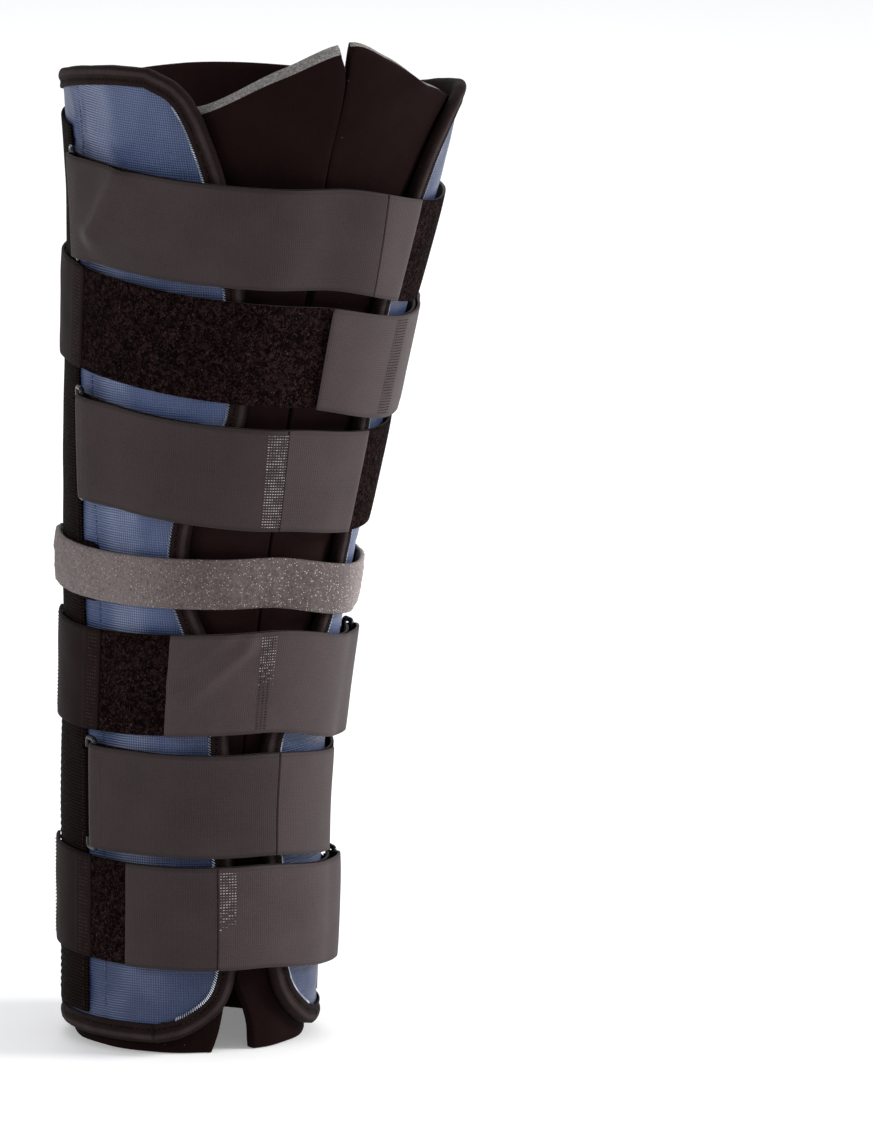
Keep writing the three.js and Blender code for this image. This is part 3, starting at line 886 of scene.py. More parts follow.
def slab(name: str, outer: Points, inner: Points, uv: Points, rim: Rim, finishes: Sequence[Any],
         slots: tuple[int, int, int] = (0, 0, 0), edge_slots: Points | None = None) -> bpy.types.Object:
    """Closed piece of cloth or foam between two grids, with a rim all round.

    Args:
        name: The piece's name.
        outer: Grid of the outer face, columns by rows by three.
        inner: Grid of the inner face.
        uv: Place of each grid point on the flat cloth in metres.
        rim: Section of the edge.
        finishes: Finishes of the material slots.
        slots: Slots of the outer face, the inner face and the rim.
        edge_slots: Slot of each rim face, strips by places round the boundary, or None.

    Returns:
        The object.
    """
    columns, rows = outer.shape[:2]
    number = np.arange(columns * rows).reshape(columns, rows)
    ring = boundary(columns, rows)
    inside = np.concatenate([[number[1, 1]], number[1:-1, 1], [number[-2, 1]], number[-2, 1:-1],
                             [number[-2, -2]], number[-2:0:-1, -2], [number[1, -2]], number[1, -2:0:-1]])
    top, under = outer.reshape(-1, 3), inner.reshape(-1, 3)
    a, b = top[ring], under[ring]
    middle, half = (a + b) / 2, (a - b) / 2
    away = middle - (top[inside] + under[inside]) / 2
    out = half / np.linalg.norm(half, axis=1, keepdims=True)
    away = away - (away * out).sum(1, keepdims=True) * out
    away = away / np.maximum(np.linalg.norm(away, axis=1, keepdims=True), 1e-9)
    points, places = [top, under], [uv.reshape(-1, 2)] * 2
    for share, swell in rim.rows:
        points.append(middle + share * half + swell * rim.bulge * away)
        places.append(uv.reshape(-1, 2)[ring])
    faces: list[Sequence[int]] = []
    picks: list[int] = []
    count = columns * rows
    corner = np.stack([number[:-1, :-1], number[1:, :-1], number[1:, 1:], number[:-1, 1:]], -1).reshape(-1, 4)
    faces.extend(corner)
    picks.extend([slots[0]] * len(corner))
    faces.extend(corner[:, ::-1] + count)
    picks.extend([slots[1]] * len(corner))
    size = len(ring)
    loops = [ring]
    loops.extend(2 * count + size * row + np.arange(size) for row in range(len(rim.rows)))
    loops.append(ring + count)
    for row, (above, below) in enumerate(zip(loops[:-1], loops[1:])):
        edge_slot = slots[2] if 0 < row < len(loops) - 2 else slots[0 if row == 0 else 1]
        strip = [edge_slot] * size if edge_slots is None else edge_slots[row].tolist()
        quads = np.stack([above, below, np.roll(below, -1), np.roll(above, -1)], -1)
        faces.extend(quads)
        picks.extend(strip)
    obj = make_object(name, np.concatenate(points), faces, np.concatenate(places), finishes, picks)
    turn_outwards(obj)
    return obj


def sew(name: str, starts: Points, ends: Points, normals: Points, radius: float,
        finish: Thread) -> bpy.types.Object:
    """Stitches: short humped threads from start to end, joined in one mesh.

    Args:
        name: The piece's name.
        starts: Points where the thread comes out.
        ends: Points where it goes in.
        normals: Outward directions.
        radius: Radius of the thread.
        finish: Finish of the thread.

    Returns:
        The object.
    """
    sides = 5
    stations = np.array([0.0, 0.12, 0.5, 0.88, 1.0])
    heights = np.array([-0.35, 0.45, 0.8, 0.45, -0.35])
    widths = np.array([0.35, 0.95, 1.0, 0.95, 0.35])
    run = ends - starts
    side = np.cross(run, normals)
    side /= np.linalg.norm(side, axis=1, keepdims=True)
    turns = np.arange(sides) * math.tau / sides
    rise = (heights[:, None] + widths[:, None] * np.sin(turns))[None, :, :, None]
    beside = (widths[:, None] * np.cos(turns))[None, :, :, None]
    points = (starts[:, None, None] + run[:, None, None] * stations[None, :, None, None]
              + normals[:, None, None] * rise * radius + side[:, None, None] * beside * radius)
    count = len(stations) * sides
    here = np.arange(count).reshape(len(stations), sides)
    turned = np.roll(here, -1, 1)
    quads = np.stack([here[:-1], turned[:-1], turned[1:], here[1:]], -1).reshape(-1, 4)
    faces: list[Sequence[int]] = []
    for k in range(len(starts)):
        faces.extend(quads + k * count)
        faces.append(here[0][::-1] + k * count)
        faces.append(here[-1] + k * count)
    obj = make_object(name, points.reshape(-1, 3), faces, None, [finish])
    turn_outwards(obj)
    return obj


def settle(obj: bpy.types.Object, slot: str, *nodes: str) -> None:
    """Ride a piece on the body, note its slot in the list of dressed pieces and hide the solids that it
    stands for.

    Args:
        obj: The piece.
        slot: Its material slot.
        nodes: Names of the solids.
    """
    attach(obj, BODY)
    if nodes:
        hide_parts(*nodes)
    DRESSED.append((obj.name, slot, len(obj.data.polygons)))


class Seam:
    """Stitches of one piece, gathered before they are sewn."""

    def __init__(self) -> None:
        """Start without stitches."""
        self.starts: list[Points] = []
        self.ends: list[Points] = []
        self.normals: list[Points] = []

    def add(self, starts: Points, ends: Points, above: Points) -> None:
        """Add a row of stitches.

        Args:
            starts: Points where the thread comes out.
            ends: Points where it goes in.
            above: Points at the probe distance outwards from the starts.
        """
        self.starts.append(starts)
        self.ends.append(ends)
        self.normals.append((above - starts) / PROBE)

    def make(self, name: str, radius: float, finish: Thread, slot: str) -> None:
        """Sew all rows as one piece.

        Args:
            name: The piece's name.
            radius: Radius of the thread.
            finish: Finish of the thread.
            slot: The piece's material slot.
        """
        rows = [np.concatenate(part) for part in (self.starts, self.ends, self.normals)]
        settle(sew(name, *rows, radius, finish), slot)


# Foam wrap


@dataclass
class FoamWrap:
    """Open foam tube, slit down the front, with its cut edges showing."""

    slit_flare: float = 0.0135
    top_fall: float = 0.046
    cut_slope: float = 0.004
    top_flare: float = 0.003
    flare_reach: float = 34.0
    bare_slit: float = 0.43
    faced_turn: float = 285.0
    flare_from: float = 0.865
    cut_from: float = 0.975
    edge_sink: float = 0.0011
    swell: float = 0.0006
    face_waves: Waves = Waves(11, 0.0005, 0.045)
    lining_waves: Waves = Waves(12, 0.0002, 0.05)
    columns: int = 190
    rows: int = 150
    levels: tuple[float, ...] = (0.0, 0.024, 0.08, 0.2, 0.34, 0.5, 0.62, 0.745, 0.865, 0.96, 1.0)
    lateral: tuple[float, ...] = (1.0, 0.74, 0.46, 0.22, 0.12, 0.06, 0.1, 0.2, 0.28, 0.14, 0.46)
    medial: tuple[float, ...] = (-0.78, -0.66, 0.12, 0.06, -0.06, -0.12, -0.12, -0.2, 0.15, -0.02, -0.04)
    turns: tuple[float, ...] = (-180, -90, -40, -14, 0, 20, 47, 90, 180)
    falls: tuple[float, ...] = (0.9, 1.0, 0.64, 0.2, 0.0, 0.27, 0.72, 0.84, 0.9)

    def grid(self, through: float, dent: Points | float = 0.0) -> tuple[Points, Points]:
        """Grid of points at one depth of the foam.

        Args:
            through: Depth, 0 at the leg and 1 at the outer face.
            dent: Extra distance out from the leg.

        Returns:
            The points and their places on the flat foam.
        """
        up = np.linspace(0, 1, self.rows)[None, :]
        along = np.linspace(0, 1, self.columns)[:, None]
        radius = LEG.radius(up * LEG.height) + LEG.wrap
        start = self.slit_flare * read_table(self.levels, self.lateral, up) / radius
        stop = self.slit_flare * read_table(self.levels, self.medial, up) / radius
        angle = start + along * (math.tau + stop - start)
        turn = np.degrees(np.where(angle > math.pi, angle - math.tau, angle))
        top = LEG.height - self.top_fall * read_table(self.turns, self.falls, turn)
        flare = self.top_flare * smooth(up, self.flare_from, 1)
        flare = flare * (1 - smooth(np.abs(turn), 0, self.flare_reach))
        cut = self.cut_slope * through * smooth(up, self.cut_from, 1)
        z = up * top - cut
        out = through * LEG.wrap + flare + dent
        return LEG.point(angle, z, out), pair(angle * radius, z)

    def cut_edge(self, place: Points) -> Points:
        """Where the bare cut of the foam shows on the rim.

        Args:
            place: Places of the grid points on the flat foam.

        Returns:
            Slot of each rim face, strips by places round the boundary: 0 faced, 1 bare.
        """
        ring = boundary(self.columns, self.rows)
        along, up = ring // self.rows, ring % self.rows
        z = place.reshape(-1, 2)[ring, 1]
        turn = along / self.columns * 360
        on_top = up == self.rows - 1
        medial_front = on_top & (turn > self.faced_turn)
        slit = (along == 0) | (along == self.columns - 1)
        slots = np.zeros((6, len(ring)), int)
        slots[1] = (on_top & ~medial_front) | ((along == 0) & (z > self.bare_slit))
        slots[2] = (on_top & ~medial_front) | ((up == 0) & ~slit)
        slots[3:5] = on_top | ((up == 0) & ~slit)
        return slots

    def make(self) -> None:
        """Build and dress the wrap."""
        _, place = self.grid(1.0)
        along = np.linspace(0, 1, self.columns)[:, None]
        edge = np.minimum(along, 1 - along)
        soft = self.face_waves.at(place[..., 0], place[..., 1]) * smooth(edge, 0.0, 0.02)
        soft = soft - self.edge_sink + self.swell * smooth(edge, 0.0, 0.03)
        outer, place = self.grid(1.0, soft)
        inner, _ = self.grid(0.0, 0.0002 + self.lining_waves.at(place[..., 0], place[..., 1]))
        rim = Rim(0.0007, ((0.94, 0.55), (0.72, 1.0), (0.0, 1.25), (-0.80, 1.0), (-0.93, 0.55)))
        obj = slab("foam_wrap_tube", outer, inner, place, rim, [BlackFoam(), FoamEdge()],
                   edge_slots=self.cut_edge(place))
        settle(obj, "black_foam", "foam_wrap")


# Side panels


@dataclass(frozen=True)
class TapeRow:
    """Row of stitches along a panel's tape, in metres.

    The thread comes out at first from the tape's inner edge, sunk under its face, and goes in at second,
    lower by drop. A stitch is a share of the pitch.
    """

    label: str
    first: float
    second: float
    sunk: float
    drop: float
    pitch: float
    share: float
    radius: float
    finish: Thread
    front_only: bool = False


GROOVE_STITCHES = TapeRow("groove", -0.0030, -0.0030, 0.0006, 0.0, 0.0030, 0.70, 0.00024, DARK_THREAD)
EDGE_STITCHES = TapeRow("edge", -0.0004, 0.0011, 0.0003, 0.0007, 0.0014, 0.85, 0.00028, GLINT_BLUE_THREAD, True)


@dataclass
class SidePanel:
    """Blue cloth panel with its bound edge and the ribbed webbing that covers its stays."""

    side: Side
    top: float
    bottom: float = 0.007
    top_fall: float = 0.024
    rear: float = 150.0
    tape_width: float = 0.0095
    tape_thickness: float = 0.0009
    gap: float = 0.0006
    stay_width: float = 0.046
    stay_thickness: float = 0.0014
    stay_top_margin: float = 0.015
    seam_lead: float = 0.011
    tape_face: tuple[tuple[float, float], ...] = (
        (0.0, -0.0005), (0.0004, -0.0001), (0.0014, -0.00005), (0.0024, -0.0003), (0.0030, -0.0006),
        (0.0036, -0.0003), (0.0048, 0.0003), (0.0062, 0.0004))
    edge_reach: float = 62.0
    edge_margins: tuple[float, float] = (0.003, 0.010)
    stay_rows: int = 170
    stay_columns: int = 26
    stay_pitch: float = 0.0034
    stay_share: float = 0.7
    stay_inset: float = 0.0028
    stay_margin: float = 0.003
    stay_sunk: float = 0.00028
    stay_thread: float = 0.00022
    seam_pitch: float = 0.0026
    seam_share: float = 0.75
    seam_sunk: float = 0.0005
    seam_margins: tuple[float, float] = (0.014, 0.022)
    seam_depth: float = 0.0007
    seam_spread: float = 0.0012
    hem_dip: float = 0.0005
    hem_reach: float = 0.0035
    pucker: Waves = Waves(21, 0.0002, 0.011)
    puff: Waves = Waves(31, 0.00022, 0.03)
    tape_waves: Waves = Waves(41, 0.00012, 0.02)
    stay_waves: Waves = Waves(51, 0.00012, 0.03)
    outline_step: float = 0.0022
    samples: int = 3000
    columns: int = 90
    row_length: float = 0.0035
    dents: tuple[tuple[float, float, float, float, float], ...] = (
        (0.004, 0.462, 0.0016, 0.010, 0.0012), (-0.006, 0.470, 0.0014, 0.008, 0.0007),
        (0.010, 0.452, 0.004, 0.0015, 0.0008), (-0.020, 0.245, 0.006, 0.0016, 0.0006),
        (-0.004, 0.260, 0.0016, 0.006, 0.0008), (-0.010, 0.205, 0.0016, 0.008, 0.0007))
    heights: tuple[float, ...] = (
        0.0, 0.006, 0.02, 0.035, 0.055, 0.085, 0.185, 0.31, 0.375, 0.425,
        0.465, 0.515, 0.57, 0.645, 0.767, 0.88, 0.93, 0.965, 0.988, 1.0)
    fronts: dict[Side, tuple[float, ...]] = field(default_factory=lambda: {
        Side.LATERAL: (40, 29, 18, 11, 7, 5.4, 8, 12, 17, 27,
                       33.5, 35.5, 31.5, 19.5, 25, 34.5, 40, 45, 51, 60),
        Side.MEDIAL: (50, 40, 30, 23, 18, 14.5, 11, 7.5, 17, 29,
                      34, 36, 35, 32, 29, 33, 37, 43, 50, 58)})
    rears: tuple[float, ...] = (11, 6, 3, 1, 0, 0, 0, 0, 0, 0, 0, 0, 0, 0, 0, 0, 0, 1, 4, 10)

    def front_edge(self, share: Points | float) -> Points:
        """Angle of the front edge in degrees at a share of the panel's height."""
        return read_table(self.heights, self.fronts[self.side], share)

    def place(self, along: Points | float, share: Points | float) -> tuple[Points, Points]:
        """Angle and height of points on the panel.

        Args:
            along: Share of the way from the front edge to the rear edge.
            share: Share of the panel's height.

        Returns:
            Angles towards the panel's own side in radians, and heights.
        """
        front = self.front_edge(share)
        rear = self.rear - read_table(self.heights, self.rears, share)
        angle = front + along * (rear - front)
        corner = self.fronts[self.side][-1]
        fall = self.top_fall * smooth(angle, corner, self.rear)
        z = self.bottom + share * (self.top - fall - self.bottom)
        return np.radians(angle), z

    def shares(self) -> Points:
        """Heights of the cloth's rows, which step evenly along its front edge.

        Returns:
            Shares of the panel's height.
        """
        share = np.linspace(0, 1, self.samples)
        angle, z = self.place(0.0, share)
        radius = LEG.radius(z) + LEG.panel_face
        length = np.concatenate([[0], np.cumsum(np.hypot(np.diff(angle) * radius[1:], np.diff(z)))])
        count = int(length[-1] / self.row_length)
        return np.interp(np.linspace(0, length[-1], count), length, share)

    def seam(self, z: Points | float) -> Points:
        """Angle of the seam in front of the stay webbing, towards the panel's side."""
        return LEG.stay_angle(z) - self.seam_lead / (LEG.radius(z) + LEG.panel_face)

    def cloth(self) -> None:
        """Blue cloth with its seam and soft puckers along the tape."""
        share = self.shares()[None, :]
        along = np.linspace(0, 1, self.columns)[:, None]
        angle, z = self.place(along, share)
        radius = LEG.radius(z) + LEG.panel_face
        from_seam = (angle - self.seam(z)) * radius
        place = pair(from_seam, z)
        near = np.minimum(np.minimum(along, 1 - along) * 0.12, np.minimum(share, 1 - share) * 0.45)
        inside = smooth(near, 0.004, 0.012)
        hem = self.hem_dip * (1 - smooth(near, 0.0, self.hem_reach))
        seam_dip = -self.seam_depth * np.exp(-((from_seam / self.seam_spread) ** 2))
        seam_dip = seam_dip * smooth(near, 0.0015, 0.004)
        sign = self.side.sign
        pucker = self.pucker.at(from_seam, z, sign) * (1 - inside) * smooth(near, 0, 0.002)
        puff = inside * (self.puff.at(from_seam, z, sign) - 0.0002)
        dents = sum(-depth * np.exp(-(((from_seam - x) / wide) ** 2) - (((z - y) / tall) ** 2))
                    for x, y, wide, tall, depth in self.dents)
        lift = seam_dip + pucker + puff + dents * inside - hem
        outer = LEG.point(sign * angle, z, LEG.panel_face + lift)
        inner = LEG.point(sign * angle, z, LEG.panel_floor + hem)
        name = f"{self.side.value}_panel_cloth"
        face = LATERAL_CLOTH if self.side is Side.LATERAL else MEDIAL_CLOTH
        obj = slab(name, outer, inner, place, Rim(0.0004), [face, BlackFoam()], (0, 1, 0))
        settle(obj, "blue_cloth", f"{self.side.value}_panel")
        width = float((radius * (np.radians(self.rear) - np.radians(self.front_edge(share))))[0].max())
        across = radius.mean(0) * np.radians(self.rear - self.front_edge(share[0]))

    def outline(self) -> tuple[Points, Points, Points, Points]:
        """Panel's outline, once round, with the distance and the direction along it.

        Returns:
            Angles, heights, distances along the outline and unit directions along it.
        """
        up = np.linspace(0, 1, self.samples // 2)
        down = up[::-1]
        parts = [self.place(*way) for way in ((0.0, up), (up, 1.0), (1.0, down), (down, 0.0))]
        angle = np.concatenate([part[0][:-1] for part in parts])
        z = np.concatenate([np.broadcast_to(part[1], up.shape)[:-1] for part in parts])
        radius = LEG.radius(z) + LEG.panel_face
        step = np.hypot(np.diff(angle, append=angle[0]) * radius, np.diff(z, append=z[0]))
        length = np.concatenate([[0], np.cumsum(step)])
        count = int(length[-1] / self.outline_step)
        at = np.arange(count) * length[-1] / count
        angle = np.interp(at, length, np.append(angle, angle[0]))
        z = np.interp(at, length, np.append(z, z[0]))
        radius = LEG.radius(z) + LEG.panel_face
        run = pair((np.roll(angle, -2) - np.roll(angle, 2)) * radius, np.roll(z, -2) - np.roll(z, 2))
        run /= np.linalg.norm(run, axis=1, keepdims=True)
        return angle, z, at, run

    def on_tape(self, angle: Points, z: Points, run: Points, inward: Points | float,
                out: Points | float) -> Points:
        """Points beside the outline.

        Args:
            angle: Angles of the outline.
            z: Heights of the outline.
            run: Directions along the outline.
            inward: Distance inwards from the outline.
            out: Distance out from the leg form.

        Returns:
            Points in the row frame.
        """
        radius = LEG.radius(z) + LEG.panel_face
        return LEG.point(self.side.sign * (angle + run[:, 1] * inward / radius), z - run[:, 0] * inward, out)

    def binding(self) -> None:
        """Tape folded over the panel's edge, with its stitches."""
        angle, z, at, run = self.outline()
        lip = -self.gap - self.tape_thickness
        reach = self.tape_width + lip
        low = LEG.panel_floor - self.gap - self.tape_thickness
        high = LEG.trim_floor + self.tape_thickness
        middle, half = (low + high) / 2, (high - low) / 2
        roll = 0.5 * half
        t = self.tape_thickness
        wide = [(reach - inset, high + rise) for inset, rise in self.tape_face]
        wide += [(lip + 0.0018, high + 0.0001), (lip + 0.0006, high - 0.0006)]
        bend = [(lip, middle + roll), (lip - 0.00015, middle), (lip, middle - roll),
                (lip + 0.0005, low + 0.0004), (lip + 0.0016, low)]
        under = [(reach, low), (reach, low + t), (-self.gap + 0.0004, low + t),
                 (-self.gap, low + t + 0.0004), (-self.gap, high - t - 0.0004),
                 (-self.gap + 0.0004, high - t)]
        section = wide + bend + under + [(reach, high - t)]
        wave = self.tape_waves.at(at, at * 0, self.side.sign)
        rings = []
        for inward, out in section:
            top_side = smooth(out, middle, high)
            rings.append(self.on_tape(angle, z, run, inward + wave * (inward < 0), out + wave * top_side))
        points = np.stack(rings, 1)
        count, corners = points.shape[:2]
        steps = [math.dist(a, b) for a, b in zip(section[:-1], section[1:])]
        across = np.concatenate([[0], np.cumsum(steps)])
        uv = pair(at[:, None], across[None, :] - across[3])
        number = np.arange(count * corners).reshape(count, corners)
        after, beside = np.roll(number, -1, 0), np.roll(number, -1, 1)
        faces = np.stack([number, after, np.roll(after, -1, 1), beside], -1).reshape(-1, 4)
        name = f"{self.side.value}_binding_tape"
        obj = make_object(name, points.reshape(-1, 3), faces, uv.reshape(-1, 2), [BindingTape()])
        turn_outwards(obj)
        settle(obj, "binding_tape", f"{self.side.value}_binding")
        flat_width = 2 * self.tape_width + 2 * half
        self.tape_stitches(angle, z, at, run, reach, high)

    def tape_stitches(self, angle: Points, z: Points, at: Points, run: Points, reach: float,
                      high: float) -> None:
        """Dark stitches in the tape's groove and blue ones with painted glints along its inner edge.

        Args:
            angle: Angles of the outline.
            z: Heights of the outline.
            at: Distances along the outline.
            run: Directions along the outline.
            reach: Distance of the tape's inner edge from the outline.
            high: Height of the tape's face.
        """
        total = float(at[-1] + at[1])
        far = np.append(at, total)

        def read(place: Points, inward: float, height: float) -> Points:
            """Points beside the outline.

            Args:
                place: Distances along it.
                inward: Distance inwards from it.
                height: Distance out from the leg form.

            Returns:
                The points.
            """
            columns = [angle, z, run[:, 0], run[:, 1]]
            a, h, x, y = (np.interp(place % total, far, np.append(row, row[0])) for row in columns)
            return self.on_tape(a, h, pair(x, y), inward, height)

        for row in (GROOVE_STITCHES, EDGE_STITCHES):
            count = int(total / row.pitch)
            start = np.arange(count) * total / count
            stop = start + row.share * total / count
            if row.front_only:
                height = np.interp(start, at, z)
                keep = np.interp(start, at, angle) < np.radians(self.edge_reach)
                keep &= height < self.top - self.edge_margins[1]
                keep &= height > self.bottom + self.edge_margins[0]
                start, stop = start[keep], stop[keep]
            first, second, out = reach + row.first, reach + row.second, high - row.sunk
            seam = Seam()
            seam.add(read(start, first, out), read(stop, second, out - row.drop),
                     read(start, first, out + PROBE))
            seam.make(f"{self.side.value}_binding_{row.label}_stitches", row.radius, row.finish,
                      "binding_tape")

    def stay_webbing(self) -> None:
        """Ribbed webbing over the stays, with a row of stitches down each edge."""
        low = self.bottom + self.tape_width
        high = self.top - self.top_fall / 2 - self.tape_width - self.stay_top_margin
        up = np.linspace(0, 1, self.stay_rows)[None, :]
        along = np.linspace(0, 1, self.stay_columns)[:, None]
        z = low + up * (high - low)
        radius = LEG.radius(z) + LEG.trim_floor
        angle = LEG.stay_angle(z) + along * self.stay_width / radius
        across = (along - 0.5) * self.stay_width
        edge = np.minimum(along, 1 - along) * self.stay_width
        lift = -0.0004 * (1 - smooth(edge, 0, 0.0025)) + self.stay_waves.at(across, z) - 0.0002
        sign = self.side.sign
        outer = LEG.point(sign * angle, z, LEG.trim_floor + self.stay_thickness + lift)
        inner = LEG.point(sign * angle, z, LEG.trim_floor)
        place = pair(across, z)
        name = f"{self.side.value}_stay_cover"
        obj = slab(name, outer, inner, place, Rim(0.0003), [RibbedWebbing()])
        settle(obj, "ribbed_webbing", f"{self.side.value}_stay_webbing")
        heights = np.arange(low + self.stay_margin, high - self.stay_margin, self.stay_pitch)
        after = heights + self.stay_pitch * self.stay_share
        out = LEG.trim_floor + self.stay_thickness - self.stay_sunk
        seam = Seam()
        for inset in (self.stay_inset, self.stay_width - self.stay_inset):
            lead = inset / (LEG.radius(heights) + LEG.trim_floor)
            a, b = sign * (LEG.stay_angle(heights) + lead), sign * (LEG.stay_angle(after) + lead)
            seam.add(LEG.point(a, heights, out), LEG.point(b, after, out), LEG.point(a, heights, out + PROBE))
        seam.make(f"{self.side.value}_stay_stitches", self.stay_thread, DARK_THREAD, "ribbed_webbing")

    def seam_stitches(self) -> None:
        """Fine stitches down the seam in front of the stay webbing."""
        low, high = self.seam_margins
        heights = np.arange(self.bottom + low, self.top - high, self.seam_pitch)
        after = heights + self.seam_pitch * self.seam_share
        out = LEG.panel_face - self.seam_sunk
        a, b = self.side.sign * self.seam(heights), self.side.sign * self.seam(after)
        seam = Seam()
        seam.add(LEG.point(a, heights, out), LEG.point(b, after, out), LEG.point(a, heights, out + PROBE))
        seam.make(f"{self.side.value}_seam_stitches", THREAD_RADIUS, BLUE_THREAD, "blue_cloth")

    def make(self) -> None:
        """Build and dress the panel."""
        self.cloth()
        self.binding()
        self.stay_webbing()
        self.seam_stitches()


# Straps


@dataclass(frozen=True)
class Crease:
    """Soft ridge or dent across a strap: from one (angle in degrees, share of the width) to another."""

    start: tuple[float, float]
    end: tuple[float, float]
    width: float
    height: float


@dataclass(frozen=True)
class Step:
    """Upright seam across the folded layer: its angle in degrees, how far it leans and which side has painted
    light.

    The webbing is painted paler, as if lit by the key light, between the seam and the strap's end where pale
    is 1, between the seam and the ring where it is -1. The layer rises by drop on the ring's side, and the
    seam itself is a notch of some width.
    """

    angle: float
    lean: float = 0.0
    # Painted light: sense of the side that is painted paler, 1 for the side towards the strap's end
    pale: int = 1
    drop: float = 0.0004
    ramp: tuple[float, float] = (-0.0002, 0.0006)
    notch: float = 0.0010
    width: float = 0.00045


@dataclass(frozen=True)
class StitchBlock:
    """Block of level stitches: first and last angle in degrees, columns, and how far down it fades.

    It leans by its tilt, in degrees over the strap's width, and reaches a share of the width up and down.
    A stitch is as long as a share of the columns' distance, and the block's lower end is ragged.
    """

    first: float
    last: float
    columns: int
    fade: float
    finish: Thread
    tilt: float = 0.0
    rows: int = 34
    reach: float = 0.47
    length: float = 0.6
    ragged: float = 0.12


@dataclass
class Band:
    """Strip of webbing that follows a path of angles and heights out from the leg form."""

    angle: Points
    out: Points
    sign: int
    width: float
    heights: tuple[float, float, float]
    turn: Points
    bow: float = 0.0
    lateral_line: float = 100.0
    medial_line: float = 60.0
    bow_at: float = -22.0
    bow_reach: float = 28.0

    def level(self, angle: Points | float) -> Points:
        """Height of the strip's middle.

        Args:
            angle: Angle in radians, lateral side positive.

        Returns:
            The height.
        """
        turn = np.degrees(angle)
        lateral, front, medial = self.heights
        return (front + smooth(turn, 0, self.lateral_line) * (lateral - front)
                + smooth(-turn, 0, self.medial_line) * (medial - front)
                - self.bow * np.exp(-(((turn - self.bow_at) / self.bow_reach) ** 2)))

    def normals(self) -> tuple[Points, Points]:
        """Directions across the strip's path.

        Returns:
            Their parts along the angle and out from the leg.
        """
        before = np.maximum(np.arange(len(self.angle)) - 1, 0)
        after = np.minimum(np.arange(len(self.angle)) + 1, len(self.angle) - 1)
        radius = LEG.radius(self.heights[1]) + self.out
        x = self.out[before] - self.out[after]
        y = (self.angle[after] - self.angle[before]) * radius
        size = np.hypot(x, y)
        return x / size, y / size

    def lengths(self) -> Points:
        """Measure along the strip.

        Returns:
            Distance along it at each place of its path.
        """
        z = self.level(self.sign * self.angle)
        middle = LEG.point(self.sign * self.angle, z, self.out)
        return np.concatenate([[0], np.cumsum(np.linalg.norm(np.diff(middle, axis=0), axis=1))])

    def grid(self, across: int) -> tuple[Points, Points, Points]:
        """Coordinates for a grid of points on the strip.

        Args:
            across: Number of points over the width.

        Returns:
            Places on the path, shares of the width and distances along the strip.
        """
        station = np.arange(len(self.angle), dtype=float)[:, None]
        return station, np.linspace(-0.5, 0.5, across)[None, :], self.lengths()[:, None]

    def points(self, station: Points, share: Points, shift: Points) -> Points:
        """Points on the strip.

        Args:
            station: Places on the path, fractions allowed.
            share: Shares of the width from the middle, -0.5 to 0.5.
            shift: Distance out from the strip's middle layer.

        Returns:
            Points in the row frame.
        """
        number = np.arange(len(self.angle))
        x, y = self.normals()
        angle = np.interp(station, number, self.angle)
        out = np.interp(station, number, self.out)
        turn = np.interp(station, number, self.turn)
        across, upward = np.interp(station, number, x), np.interp(station, number, y)
        radius = LEG.radius(self.heights[1]) + out
        middle = self.level(self.sign * angle)
        z = middle + share * self.width
        lean = turn * (LEG.stay_angle(z) - LEG.stay_angle(middle))
        return LEG.point(self.sign * (angle + lean + across * shift / radius), z, out + upward * shift)


def stations(start: float, stop: float, step: float = 0.9) -> Points:
    """Even steps between two angles in radians, of at most step degrees."""
    count = max(2, int(math.ceil(abs(math.degrees(stop - start)) / step)))
    return np.linspace(start, stop, count + 1)


